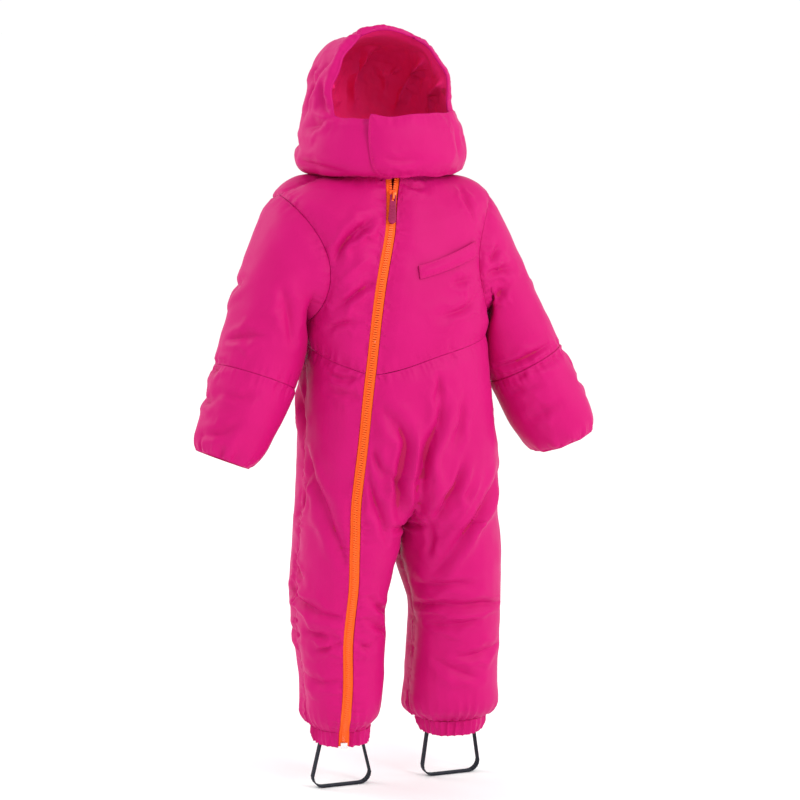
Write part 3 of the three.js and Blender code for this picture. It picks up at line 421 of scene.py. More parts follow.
# Folds: azimuth they are seen from, width and depth in mm, then places across that view and up.
bodyFolds = [
    # chest
    (-20, 7, 4.0, [(-52, -86), (-45, -70), (-29, -53), (-10, -39)]),
    (-20, 5, 2.2, [(-30, -62), (-20, -52), (-12, -48)]),
    (-20, 6, 2.8, [(-52, -141), (-36, -130), (-21, -119), (-8, -111)]),
    (-20, 9, -1.6, [(-46, -112), (-30, -96), (-14, -84)]),
    (-20, 5, 1.5, [(-60, -165), (-44, -158), (-24, -156)]),
    (-20, 5, 1.8, [(27, 0), (38, -6), (52, -7)]),
    (-20, 5, 1.8, [(92, -10), (99, -22), (108, -44)]),
    (-20, 6, 1.8, [(118, -100), (104, -112), (84, -116)]),
    (-20, 7, 2.0, [(113, -132), (96, -146), (70, -152)]),
    # below the waist seam
    (-20, 5, 2.2, [(-61, -217), (-44, -223), (-26, -221)]),
    (-20, 6, 1.8, [(-60, -236), (-40, -240), (-22, -247)]),
    (-20, 6, 2.0, [(66, -221), (68, -234), (63, -252)]),
    # belly and the middle of the front
    (-20, 8, 4.2, [(4, -258), (22, -279), (30, -298), (26, -318), (21, -346), (22, -380)]),
    (-20, 6, 2.4, [(8, -330), (20, -342), (24, -356)]),
    (-20, 9, 4.4, [(72, -236), (69, -272), (55, -303), (50, -338), (44, -380)]),
    (-20, 8, -2.4, [(44, -276), (40, -305), (36, -340), (33, -374)]),
    (-20, 7, 2.4, [(96, -252), (92, -280), (84, -304)]),
    (-20, 5, 2.6, [(14, -399), (30, -404), (50, -403)]),
    # right leg, front
    (-20, 10, 3.4, [(-84, -312), (-78, -342), (-66, -372), (-50, -412), (-42, -434)]),
    (-20, 7, 3.0, [(-14, -336), (-6, -364), (4, -392), (9, -416)]),
    (-20, 7, 2.4, [(-10, -300), (-2, -322), (8, -338)]),
    (-20, 6, 2.6, [(-101, -440), (-97, -452), (-92, -466)]),
    (-20, 7, 3.4, [(-104, -484), (-86, -494), (-68, -501), (-46, -504)]),
    (-20, 6, 2.6, [(-84, -524), (-64, -529), (-46, -529)]),
    (-20, 5, 2.2, [(-76, -548), (-60, -542), (-44, -536)]),
    (-20, 6, 2.6, [(-14, -480), (-4, -494), (6, -510)]),
    (-20, 5, 2.2, [(-18, -508), (-6, -518), (6, -534)]),
    (-20, 6, 2.2, [(-24, -541), (-10, -548), (6, -560)]),
    (-20, 8, 2.0, [(-90, -580), (-70, -588), (-50, -584)]),
    # left leg, front
    (-20, 8, 4.2, [(99, -322), (91, -346), (80, -366), (64, -392)]),
    (-20, 9, 4.8, [(136, -350), (120, -384), (99, -412), (80, -438), (62, -460)]),
    (-20, 8, -1.8, [(116, -346), (100, -378), (82, -404)]),
    (-20, 6, 2.2, [(56, -392), (60, -416), (58, -440)]),
    (-20, 7, 2.6, [(44, -478), (66, -476), (88, -473), (112, -476)]),
    (-20, 7, 3.4, [(44, -505), (70, -501), (96, -503), (122, -502), (140, -506)]),
    (-20, 6, 2.0, [(56, -527), (84, -527), (116, -521)]),
    (-20, 7, 2.2, [(88, -566), (112, -566), (139, -558)]),
    (-20, 8, 1.8, [(66, -572), (90, -584), (118, -596)]),
    (20, 9, 2.8, [(96, -300), (104, -340), (112, -376)]),
    # wearer's right side
    (-90, 9, 3.2, [(-10, -236), (14, -262), (24, -300)]),
    (-90, 9, 3.0, [(52, -330), (34, -372), (12, -398)]),
    (-90, 8, 2.8, [(4, -492), (22, -486), (44, -476)]),
    (-90, 7, 2.4, [(-6, -530), (18, -538), (42, -534)]),
    # wearer's left side
    (90, 9, 3.0, [(-50, -262), (-28, -290), (-20, -330)]),
    (90, 8, 2.8, [(-44, -482), (-22, -490), (2, -486)]),
    (90, 7, 2.4, [(-40, -534), (-14, -530), (10, -538)]),
    # back
    (180, 9, 3.2, [(-86, -104), (-64, -126), (-34, -138)]),
    (180, 9, 3.4, [(88, -98), (62, -120), (36, -128)]),
    (180, 8, 2.4, [(-50, -62), (-12, -70), (30, -64)]),
    (180, 8, 2.6, [(-70, -168), (-30, -176), (6, -170)]),
    (180, 9, 3.0, [(-84, -222), (-48, -232), (-18, -226)]),
    (180, 9, 3.0, [(20, -232), (52, -240), (82, -228)]),
    (180, 10, 3.8, [(-92, -312), (-60, -344), (-24, -372)]),
    (180, 10, 3.6, [(84, -306), (50, -342), (8, -374)]),
    (180, 9, 3.0, [(-88, -356), (-64, -384), (-34, -408)]),
    (180, 9, 3.0, [(72, -352), (52, -380), (28, -404)]),
    (180, 8, 3.6, [(-116, -478), (-86, -488), (-52, -482)]),
    (180, 8, 3.2, [(-112, -504), (-84, -510), (-50, -506)]),
    (180, 8, 3.6, [(24, -486), (56, -492), (90, -480)]),
    (180, 7, 3.0, [(30, -512), (58, -516), (86, -508)]),
    (180, 7, 2.4, [(-110, -556), (-80, -564), (-52, -556)]),
    (180, 7, 2.4, [(28, -560), (58, -566), (88, -560)]),
]
sleeveFolds = [
    (-20, 6, 2.8, [(124, -108), (138, -106), (154, -104)]),
    (-20, 6, 2.6, [(128, -96), (133, -88), (138, -78)]),
    (-20, 6, 2.4, [(132, -143), (140, -134), (149, -126)]),
    (-20, 5, 2.6, [(138, -222), (156, -218), (178, -208), (198, -198)]),
    (-20, 5, 2.4, [(146, -238), (166, -232), (190, -220), (213, -211)]),
    (-20, 5, 1.6, [(155, -254), (172, -249), (189, -242)]),
    (-20, 7, 2.0, [(176, -284), (192, -276), (212, -266)]),
    (-20, 9, 2.6, [(-112, -118), (-104, -150), (-102, -178)]),
    (-20, 7, 2.2, [(-176, -178), (-156, -172), (-132, -170)]),
    (-20, 6, 1.8, [(-184, -236), (-164, -240), (-140, -236)]),
    (-20, 7, 2.0, [(-206, -286), (-182, -280), (-160, -268)]),
    (90, 8, 2.8, [(-48, -206), (-26, -214), (-2, -208)]),
    (90, 7, 2.4, [(-56, -244), (-34, -250), (-12, -244)]),
    (90, 9, 2.4, [(-30, -112), (-8, -122), (18, -116)]),
    (-90, 8, 2.8, [(2, -208), (24, -214), (48, -206)]),
    (-90, 7, 2.4, [(12, -244), (34, -250), (56, -244)]),
    (-90, 9, 2.4, [(-18, -114), (8, -122), (30, -112)]),
    (180, 8, 2.8, [(132, -200), (154, -210), (178, -206)]),
    (180, 8, 2.8, [(-178, -208), (-154, -212), (-130, -200)]),
    (180, 9, 2.8, [(-138, -96), (-128, -122), (-124, -150)]),
    (180, 9, 2.8, [(138, -96), (130, -122), (126, -150)]),
]
hoodFolds = [
    (-20, 7, 1.8, [(-92, 24), (-70, 17), (-44, 14)]),
    (-20, 8, 2.6, [(-60, 78), (-66, 92), (-66, 112)]),
    (-20, 7, 1.8, [(-84, 60), (-70, 66), (-60, 72)]),
    (-20, 8, 2.0, [(-76, 104), (-66, 124), (-50, 142)]),
    (60, 8, 2.4, [(-30, 136), (-14, 120), (-8, 96)]),
    (90, 9, 2.8, [(30, 134), (22, 104), (26, 72)]),
    (90, 8, 2.2, [(72, 30), (44, 40), (14, 34)]),
    (-90, 9, 2.8, [(-24, 130), (-16, 104), (-22, 74)]),
    (-90, 8, 2.2, [(-70, 34), (-44, 42), (-18, 34)]),
    (180, 9, 2.4, [(-20, 40), (4, 48), (26, 42)]),
    (180, 8, 2.2, [(-60, 60), (-44, 80), (-46, 104)]),
    (180, 8, 2.2, [(56, 64), (44, 84), (48, 108)]),
]
flapFolds = [
    (-20, 6, 1.2, [(2, 30), (20, 26), (44, 27)]),
    (-20, 8, 1.2, [(84, 66), (88, 48), (92, 26)]),
    (60, 7, 2.0, [(14, 66), (20, 46), (16, 22)]),
]
liningFolds = [
    # depth is how far the lining hangs in from the hood
    (-20, 7, 6.0, [(-14, 152), (-26, 132), (-36, 110), (-34, 82)]),
    (-20, 7, 5.6, [(52, 138), (40, 116), (20, 80)]),
    (-20, 6, 4.2, [(70, 112), (64, 96), (60, 78)]),
    (-20, 6, 3.4, [(-2, 128), (6, 112), (4, 92)]),
    (-20, 6, 3.4, [(-50, 128), (-54, 108), (-52, 86)]),
    (-20, 5, 2.8, [(22, 128), (12, 118), (8, 104)]),
]
foldsOf = {"hood_lining": liningFolds, "chin_flap": flapFolds}
for node in cloth:
    if node.startswith("hood_side") or node == "hood_middle":
        foldsOf[node] = hoodFolds
    elif "sleeve" in node:
        foldsOf[node] = sleeveFolds
    elif node.startswith(("chest_r", "chest_l", "back", "front", "seat")):
        foldsOf[node] = bodyFolds

pieces, corners = {}, []
for node, (seamWall, cuts, pucker) in cloth.items():
    pieces[node], found = wallCopy(node, "cloth_" + node, seamWall * mm)
    corners += found
cornerTree = KDTree(len(corners))
for i, corner in enumerate(corners):
    cornerTree.insert(corner, i)
cornerTree.balance()
for node, (seamWall, cuts, pucker) in cloth.items():
    holdCorners(pieces[node], cornerTree)
    applyModifier(pieces[node], "SUBSURF", levels=1, render_levels=1)
    refineSkin(pieces[node], cuts)
print("cloth pieces copied and refined")


def solidTree(names):
    # one tree over the solids of several nodes, to find places on them
    verts, faces = [], []
    for name in names:
        mesh = nodes[name].data
        start = len(verts)
        verts += [v.co.copy() for v in mesh.vertices]
        faces += [tuple(start + i for i in f.vertices) for f in mesh.polygons]
    return BVHTree.FromPolygons(verts, faces)


def foldLines(names, folds):
    tree = solidTree(names)
    lines = []
    for azimuth, width, depth, path in folds:
        places = [onCloth(tree, azimuth, across, height) for across, height in path]
        places = [p for p in places if p]
        if len(places) > 1:
            lines.append((smoothCurve(places, 40), width * mm, depth * mm))
    return lines


bodyNodes = [n for n in cloth if n.startswith(("chest_r", "chest_l", "back", "front", "seat"))]
foldGroups = {
    id(bodyFolds): foldLines(bodyNodes, bodyFolds),
    id(sleeveFolds): foldLines([n for n in cloth if "sleeve" in n], sleeveFolds),
    id(hoodFolds): foldLines(["hood_side_right", "hood_side_left", "hood_middle"], hoodFolds),
    id(flapFolds): foldLines(["chin_flap"], flapFolds),
    id(liningFolds): foldLines(["hood_lining"], liningFolds),
}

ankles = {"right": Vector((-61, -28, -652)) * mm, "left": Vector((80, -28, -652)) * mm}
gathers = {"count": 29, "depth": 2.4, "reach": 22}


def ankleGathers(co):
    # gathers that fan up from the ankle bands, strongest at the seam
    offset = np.zeros(len(co))
    for side, centre in ankles.items():
        away = co - np.array(centre)
        radius = np.hypot(away[:, 0], away[:, 1])
        up = away[:, 2]
        here = (radius < 75 * mm) & (up < 70 * mm) & (up > -24 * mm)
        turn = np.arctan2(away[:, 1], away[:, 0])
        wobble = 1.3 * np.sin(3 * turn + 1) + 0.9 * np.sin(5 * turn + up / (18 * mm))
        wave = 1 - 2 * np.abs(np.sin(gathers["count"] / 2 * turn + wobble / 2)) ** 0.8
        uneven = 0.6 + 0.4 * np.sin(4 * turn + 2)
        reach = gathers["reach"] * mm * (0.7 + 0.6 * np.sin(3.5 * turn + 0.5) ** 2)
        fade = np.where(up > 0, np.exp(-((up / reach) ** 2)), 1)
        offset += np.where(here, gathers["depth"] * mm * uneven * wave * fade, 0)
    return offset


def awayFromAnkle(co):
    # the level direction out from the nearer ankle's middle line
    middle = np.where((co[:, 0] < 9 * mm)[:, None], np.array(ankles["right"]), np.array(ankles["left"]))
    away = (co - middle) * (1, 1, 0)
    return away / np.maximum(np.linalg.norm(away, axis=1), 1e-6)[:, None]


def cuffTucks(co, side):
    # small tucks at the end of the sleeve
    end = np.array((-211, -45, -317) if side == "right" else (220, -45, -319)) * mm
    back = np.array((-188, -38, -273) if side == "right" else (198, -38, -273)) * mm
    run = (back - end) / np.linalg.norm(back - end)
    away = co - end
    up = away @ run
    sideways = away - up[:, None] * run
    turn = np.arctan2(sideways[:, 1], sideways[:, 0])
    wave = np.cos(15 * turn + 1.4 * np.sin(2 * turn)) * (0.6 + 0.4 * np.sin(3 * turn + 1))
    return 1.8 * mm * wave * np.exp(-((np.maximum(up, 0) / (15 * mm)) ** 2))


# Where the filled cloth stands out more: its place, how far round it and how much, in mm.
bulges = [
    ((-95, 14, -270), 55, 2.6),
    ((115, -62, -320), 75, 2.4),
    ((-98, -14, -640), 20, 4.0),
    ((40, -14, -640), 20, 4.5),
    ((119, -42, -638), 22, 5.0),
    ((-52, 28, 146), 42, 5.5),
    ((-122, 20, -34), 36, 4.0),
    ((-92, 33, 8), 22, 4.0),
    ((90, -32, 6), 20, 3.5),
    ((98, -30, -16), 26, 4.0),
    ((-98, 30, -16), 26, 3.0),
]
# Small crumpled places: azimuth, across, height, how far round and how deep.
crumples = [
    (-20, 78, 62, 13, 3.0),
    (-20, -58, 64, 9, 1.6),
]
crumpleTree = solidTree(["hood_side_left", "hood_side_right", "chest_left", "chin_flap"])
crumplePlaces = [(onCloth(crumpleTree, a, x, z), r * mm, d * mm) for a, x, z, r, d in crumples]


def slackAt(place):
    # the soft swell of loose padded cloth, the bulges and the crumpled places
    offset = 1.5 * mm * noiseAt(place, 46 * mm) + 0.7 * mm * noiseAt(place, 19 * mm, 5.0)
    for centre, reach, amount in bulges:
        apart = np.linalg.norm(place - np.array(centre) * mm, axis=1)
        offset += amount * mm * np.exp(-((apart / (reach * mm)) ** 2))
    for centre, reach, depth in crumplePlaces:
        apart = np.linalg.norm(place - np.array(centre), axis=1)
        near = apart < 2.5 * reach
        offset[near] += depth * noiseAt(place[near], 4.5 * mm, 7.0) * np.exp(-((apart[near] / reach) ** 2))
    return offset


def treeOf(points):
    tree = KDTree(len(points))
    for i, point in enumerate(points):
        tree.insert(point, i)
    tree.balance()
    return tree


def nearestIn(tree, points):
    found = [tree.find(p) for p in points]
    return np.array([f[1] for f in found], int), np.array([f[2] for f in found])


# The hood's free edge: the points of its outer rim that no other piece is sewn to.
hoodNodes = ["hood_side_right", "hood_side_left", "hood_middle"]
rimPoints = {}
for node in cloth:
    co, _, _ = readMesh(pieces[node].data)
    _, onRim = skinVerts(pieces[node].data)
    rimPoints[node] = co[onRim]
freeEdge = []
for node in hoodNodes:
    others = treeOf(np.vstack([rimPoints[n] for n in cloth if n not in (node, "hood_lining", "chin_flap")]))
    _, apart = nearestIn(others, rimPoints[node])
    freeEdge.append(rimPoints[node][apart > 2.5 * mm])
freeEdge = np.vstack(freeEdge)
freeTree = treeOf(freeEdge)


# In mm: how far the edge strays, how long its waves are, how far it stands up, and where that ends.
hoodEdge = {"wander": 3.4, "size": 26, "rise": 3.4, "reach": 18}


def edgeWander(co):
    # the hood's free edge isn't a clean curve: it waves a little, with all that is sewn to it
    _, apart = nearestIn(freeTree, co)
    near = apart < 45 * mm
    move = np.zeros_like(co)
    for axis in range(3):
        move[near, axis] = hoodEdge["wander"] * mm * noiseAt(co[near], hoodEdge["size"] * mm, 3.0 + 4 * axis)
    # over the face opening it also stands up from the head
    away = (co - np.array((2, 0, 84)) * mm) * (1, 0, 1)
    away /= np.maximum(np.linalg.norm(away, axis=1), mm)[:, None]
    move += away * (hoodEdge["rise"] * mm * ease((co[:, 2] - 78 * mm) / (30 * mm)))[:, None]
    return move * np.exp(-((apart / (hoodEdge["reach"] * mm)) ** 2))[:, None]


# in mm
elbow = {"lift": 2.6, "reach": 13, "close": 0.5}


def elbowLift(co, side, isLower):
    # the elbow seam lies nearly flush with the padding on both sides of it
    upper, lower = rimPoints["upper_sleeve_" + side], rimPoints["lower_sleeve_" + side]
    _, apart = nearestIn(treeOf(lower), upper)
    seam = upper[apart < 1.5 * mm]
    middle = seam.mean(0)
    run = np.linalg.svd(seam - middle)[2][2]
    if run @ (upper.mean(0) - lower.mean(0)) < 0:
        run = -run
    _, near = nearestIn(treeOf(seam), co)
    away = co - middle
    away -= (away @ run)[:, None] * run
    away /= np.maximum(np.linalg.norm(away, axis=1), mm)[:, None]
    lift = elbow["lift"] * mm * np.exp(-((near / (elbow["reach"] * mm)) ** 2))
    close = isLower * elbow["close"] * mm * np.exp(-((near / (4 * mm)) ** 2))
    return away * lift[:, None] + run * close[:, None]


# in mm
flapEdge = {"out": 1.6, "up": 5.0, "reach": 16}


def flapWave(co, rim):
    # the flap's edges aren't quite straight, and it stands off a little unevenly
    _, apart = nearestIn(treeOf(rim), co)
    move = np.zeros_like(co)
    move[:, 1] = flapEdge["out"] * mm * noiseAt(co, 24 * mm, 17.0)
    move[:, 2] = flapEdge["up"] * mm * noiseAt(co, 34 * mm, 11.0)
    return move * np.exp(-((apart / (flapEdge["reach"] * mm)) ** 2))[:, None]


shaping = {
    "relaxed": 6,         # passes that smooth the net before the folds
    "swell": 1.7,         # mm that the filling stands out beyond the solid
    "swellFrom": 20,      # mm from a seam to the full swell
    "foldsFrom": 7,       # mm from a seam to the full depth of a fold
    "puckerReach": 12,    # mm from a seam that its puckers reach
    "rimRoll": 2.6,       # mm that the hood's free edge is thicker
    "leastWall": 1.6,     # mm between skin and inner wall under a fold
    "weltLift": 2.2,      # mm that the welt is raised with the chest under it
    "neckTuck": 2.4,      # mm that the hood goes into the neck seam, so that no light comes through
    "neckRadius": 60,
    "neckTop": 12,
    "ankleTuck": 0.5,     # the same for an ankle band
    "bandTop": -662,
    "gathersTop": -575,
}


def shapeSkin(node, piece, pucker):
    mesh = piece.data
    co, normals, edges = readMesh(mesh)
    onSkin, onRim = skinVerts(mesh)
    start = co.copy()
    skinEdges = edges[onSkin[edges].all(1)]
    co = relax(co, skinEdges, onSkin & ~onRim, shaping["relaxed"])
    skin, rim = np.flatnonzero(onSkin), np.flatnonzero(onRim)
    nearest, distance = nearestIn(treeOf(co[rim]), co[skin])
    place, out = co[skin], normals[skin]
    offset = shaping["swell"] * mm * ease(distance / (shaping["swellFrom"] * mm))
    for line, width, depth in foldGroups.get(id(foldsOf.get(node)), []):
        offset += foldOffset(place, line, width, depth)
    offset += slackAt(place)
    if "lower_sleeve" in node:
        offset += cuffTucks(place, node.split("_")[-1])
    offset *= ease(distance / (shaping["foldsFrom"] * mm))
    # the seam draws the cloth in little puckers, the same on both sides of it
    bumps = (noiseAt(co[rim], 5.5 * mm, 3.0) + 0.5 * noiseAt(co[rim], 2.6 * mm, 9.0))[nearest]
    fade = np.exp(-((distance / (shaping["puckerReach"] * mm)) ** 2))
    offset += pucker * mm * bumps * ease(distance / (3 * mm)) * fade * 3
    if node.startswith("ankle"):
        offset *= 0.5
    if node in hoodNodes:
        _, fromEdge = nearestIn(freeTree, place)
        offset += shaping["rimRoll"] * mm * np.exp(-(((fromEdge - 8 * mm) / (5.5 * mm)) ** 2))
    co[skin] += out * offset[:, None]
    co = relax(co, skinEdges, onSkin & ~onRim, 1, 0.15)
    if node.startswith(("front", "seat", "ankle")):
        low = skin[co[skin, 2] < shaping["gathersTop"] * mm]
        co[low] += awayFromAnkle(co[low]) * ankleGathers(co[low])[:, None]
    # the inner wall gives way only where a trough would go through it
    moved = co[skin] - start[skin]
    inner = np.flatnonzero(~onSkin)
    k, thick = nearestIn(treeOf(start[skin]), start[inner])
    spare = np.maximum(thick - shaping["leastWall"] * mm, 0)
    sunk = np.maximum(-(moved[k] * out[k]).sum(1) - spare, 0)
    level = moved[k] - out[k] * (moved[k] * out[k]).sum(1)[:, None]
    atRim = thick < 2.6 * mm
    co[inner] += np.where(atRim[:, None], moved[k], level - out[k] * sunk[:, None])
    if node in hoodNodes:
        co += edgeWander(start)
        fromNeck = (np.hypot(start[:, 0], start[:, 1]) - shaping["neckRadius"] * mm) / (8 * mm)
        tuck = shaping["neckTuck"] * mm * np.exp(-(fromNeck ** 2))
        co[:, 2] -= np.where(start[:, 2] < shaping["neckTop"] * mm, tuck, 0)
    if "sleeve" in node:
        co += elbowLift(start, node.split("_")[-1], node.startswith("lower"))
    if node.startswith("ankle"):
        towardTop = ease((start[:, 2] - shaping["bandTop"] * mm) / (8 * mm))
        co[:, 2] += shaping["ankleTuck"] * mm * towardTop
    if node == "chin_flap":
        co += flapWave(start, start[rim])
    if node == "chest_welt":
        co += shaping["weltLift"] * mm * out.mean(0)
    writeMesh(mesh, co)


# in mm: the lining's edge lies this far behind the edge of the shell
liningSetBack = (0, 1.2, 0)


def shapeLining(piece):
    # The lining hangs in big folds inside the hood and is sewn to its free edge.
    mesh = piece.data
    co, normals, _ = readMesh(mesh)
    onSkin, onRim = skinVerts(mesh)
    skin, rim = np.flatnonzero(onSkin), np.flatnonzero(onRim)
    k, _ = nearestIn(treeOf(co[skin]), co)
    inward = normals[skin][k]
    _, distance = nearestIn(treeOf(co[rim]), co)
    offset = 1.2 * mm + 1.5 * mm * noiseAt(co, 30 * mm, 2.0)
    for line, width, depth in foldGroups[id(liningFolds)]:
        offset -= foldOffset(co, line, width, depth)
    offset = np.maximum(offset, 0) * ease(distance / (10 * mm))
    frontRim = np.array([v for v in rim if freeTree.find(co[v])[2] < 14 * mm])
    sewn = treeOf(co[frontRim])
    i, apart = nearestIn(sewn, co)
    verts, faces = [], []
    for node in hoodNodes:
        hood = pieces[node].data
        start = len(verts)
        verts += [v.co.copy() for v in hood.vertices]
        faces += [tuple(start + v for v in f.vertices) for f in hood.polygons if f.material_index == 1]
    facing = BVHTree.FromPolygons(verts, faces)
    seam = np.array([facing.find_nearest(Vector(co[v]) + Vector(liningSetBack) * mm)[0] for v in frontRim])
    pull = (seam - co[frontRim])[i] * np.exp(-((apart / (9 * mm)) ** 2))[:, None]
    move = edgeWander(co)
    writeMesh(mesh, co + pull + move + inward * offset[:, None])


def forget(piece):
    bpy.data.objects.remove(piece)


shapeLining(pieces["hood_lining"])
for node, (seamWall, cuts, pucker) in cloth.items():
    piece = pieces[node]
    if node != "hood_lining":
        shapeSkin(node, piece, pucker)
for node, piece in pieces.items():
    piece.data.materials.append(liningCloth if node == "hood_lining" else shellCloth)
    other = liningCloth if node == "hood_lining" else shellCloth if node in hoodNodes else insideCloth
    piece.data.materials.append(other)
    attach(piece, "suit")
    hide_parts(node)
    print(node, "triangles", sum(len(f.vertices) - 2 for f in piece.data.polygons),
          "half area", round(sum(f.area for f in piece.data.polygons) / 2, 4))
print("cloth shaped")


def edgeLoop(mesh):
    # the outer edge of a piece, as places in order
    sides = {}
    for face in mesh.polygons:
        for key in face.edge_keys:
            sides.setdefault(key, set()).add(face.material_index)
    links = {}
    for (a, b), slots in sides.items():
        if len(slots) == 2:
            links.setdefault(a, []).append(b)
            links.setdefault(b, []).append(a)
    first = min(links)
    loop, last = [first], None
    while True:
        following = [v for v in links[loop[-1]] if v != last]
        last = loop[-1]
        if not following or following[0] == first or len(loop) > len(links):
            return [mesh.vertices[v].co.copy() for v in loop]
        loop.append(following[0])


def copiesOf(name, shape, places):
    # one mesh of many copies of a shape; a place is its middle and its three directions
    co, _, _ = readMesh(shape.data)
    faces = [list(f.vertices) for f in shape.data.polygons]
    allCo, allFaces = [], []
    for i, (middle, x, y, z) in enumerate(places):
        allCo.append(np.array(middle) + co @ np.array([x, y, z]))
        allFaces += [[v + i * len(co) for v in f] for f in faces]
    mesh = bpy.data.meshes.new(name)
    mesh.from_pydata(np.vstack(allCo).tolist(), [], allFaces)
    mesh.shade_smooth()
    return newPiece(name, mesh)


stitch = {"long": 2.6, "thick": 0.5, "gap": 1.0, "insets": {"chin_flap": 2.6, "chest_welt": 1.8}}


def stitchShape():
    dropSelection()
    bpy.ops.mesh.primitive_uv_sphere_add(segments=6, ring_count=4, radius=0.5)
    shape = bpy.context.object
    shape.scale = (stitch["thick"] * mm, stitch["long"] * mm, stitch["thick"] * mm)
    bpy.ops.object.transform_apply(location=False, rotation=False, scale=True)
    return shape


def stitchLine(name, piece, loop, inset):
    # a row of stitches on the skin of a piece, set in from its edge
    mesh = piece.data
    skinFaces = [tuple(f.vertices) for f in mesh.polygons if f.material_index == 0]
    tree = BVHTree.FromPolygons([v.co for v in mesh.vertices], skinFaces)
    length = sum((a - b).length for a, b in zip(loop, loop[1:]))
    count = int(length / ((stitch["long"] + stitch["gap"]) * mm))
    run = smoothCurve(loop[::3] + [loop[-1]], count)
    places = []
    for i in range(1, count - 1):
        here = Vector(run[i])
        along = (Vector(run[i + 1]) - Vector(run[i - 1])).normalized()
        normal = tree.find_nearest(here)[1]
        sideways = normal.cross(along).normalized() * inset * mm
        found = min((tree.find_nearest(here + s * sideways) for s in (1, -1)), key=lambda f: f[3])
        across = found[1].cross(along).normalized()
        places.append((found[0] + found[1] * 0.05 * mm, across, found[1].cross(across) * -1, found[1]))
    shape = stitchShape()
    line = copiesOf(name, shape, places)
    forget(shape)
    line.data.materials.append(threadNylon)
    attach(line, "suit")


for node, inset in stitch["insets"].items():
    loop = edgeLoop(pieces[node].data)
    stitchLine("stitches_" + node, pieces[node], loop + [loop[0]], inset)
print("stitches sewn")


def zipRows(word, side):
    # The tape's rows: the place at the teeth, the place at the seam, and the way out from the body.
    copy = mergedCopy("zip_tape_" + word, "rows")
    places = sorted((v.co.copy() for v in copy.data.vertices), key=lambda p: -p.z)
    forget(copy)
    rows = []
    for i in range(0, len(places), 4):
        first, *others = places[i:i + 4]
        partner = min(others, key=lambda p: (p - first).length)
        pairs = [(first, partner), tuple(p for p in others if p is not partner)]
        outward = Vector((-0.35, -1, 0.2))
        pairs = [pair if (pair[0] - pair[1]).dot(outward) > 0 else pair[::-1] for pair in pairs]
        near, far = sorted(pairs, key=lambda pair: side * pair[0].x)
        rows.append((near[0], far[0], (near[0] - near[1]).normalized()))
    return rows


def zipLines(word, side, count):
    rows = zipRows(word, side)
    return [smoothCurve(line, count) for line in (
        [r[0] for r in rows], [r[1] for r in rows], [r[0] - r[2] * 3 * mm for r in rows])]


tooth = {"wide": 2.9, "long": 2.1, "high": 1.7, "pitch": 2.7, "bevel": 0.35, "lift": 0.65}
zipLength = 680


def toothShape():
    dropSelection()
    bpy.ops.mesh.primitive_cube_add(size=1)
    shape = bpy.context.object
    shape.scale = (tooth["wide"] * mm, tooth["long"] * mm, tooth["high"] * mm)
    bpy.ops.object.transform_apply(location=False, rotation=False, scale=True)
    bpy.ops.object.mode_set(mode="EDIT")
    bpy.ops.mesh.select_all(action="SELECT")
    bpy.ops.mesh.bevel(offset=tooth["bevel"] * mm, segments=1)
    bpy.ops.object.mode_set(mode="OBJECT")
    return shape


def zipTeeth(word, side):
    count = int(zipLength / tooth["pitch"]) * 2
    near, far, under = zipLines(word, side, count)
    places = []
    for i in range(3 if side > 0 else 2, count - 2, 2):
        along = Vector(near[i + 1] - near[i - 1]).normalized()
        across = Vector(far[i] - near[i])
        across = (across - along * across.dot(along)).normalized()
        out = across.cross(along)
        if out.dot(Vector(near[i] - under[i])) < 0:
            out = -out
        place = Vector(near[i]) - across * tooth["wide"] / 2 * mm + out * tooth["lift"] * mm
        places.append((place, across, along, out))
    shape = toothShape()
    piece = copiesOf("teeth_" + word, shape, places)
    forget(shape)
    piece.data.shade_flat()
    piece.data.materials.append(toothPlastic)
    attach(piece, "suit")
    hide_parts("zip_teeth_" + word)


def zipTape(word, side):
    # The tape goes under the teeth on one side and into the seam on the other, with a raised cord between.
    count = 220
    near, far, under = zipLines(word, side, count)
    # across the tape: share from the teeth to the seam, and height over the tape in mm
    section = [(-0.3, -0.5), (-0.1, 0.1), (0.02, 0.75), (0.14, 0.8), (0.27, 0.2), (0.33, 0.0), (0.8, 0.0),
               (0.95, 0.1), (1.0, -0.2), (1.35, -0.9), (1.35, -1.5), (-0.3, -1.5)]
    places, faces = [], []
    for i in range(count):
        across = Vector(far[i] - near[i])
        out = Vector(near[i] - under[i]).normalized()
        places += [Vector(near[i]) + across * share + out * height * mm for share, height in section]
    n = len(section)
    for i in range(count - 1):
        for j in range(n):
            k = (j + 1) % n
            faces.append((i * n + j, i * n + k, (i + 1) * n + k, (i + 1) * n + j))
    faces += [tuple(range(n))[::-1], tuple((count - 1) * n + j for j in range(n))]
    mesh = bpy.data.meshes.new("tape_" + word)
    mesh.from_pydata(places, [], faces)
    bm = bmesh.new()
    bm.from_mesh(mesh)
    bmesh.ops.recalc_face_normals(bm, faces=bm.faces)
    bm.to_mesh(mesh)
    bm.free()
    mesh.shade_smooth()
    piece = newPiece("tape_" + word, mesh)
    piece.data.materials.append(tapeCloth)
    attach(piece, "suit")
    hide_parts("zip_tape_" + word)
    print("tape", word, "half area", round(sum(f.area for f in mesh.polygons) / 2, 5))


for word, side in (("right", -1), ("left", 1)):
    zipTeeth(word, side)
    zipTape(word, side)


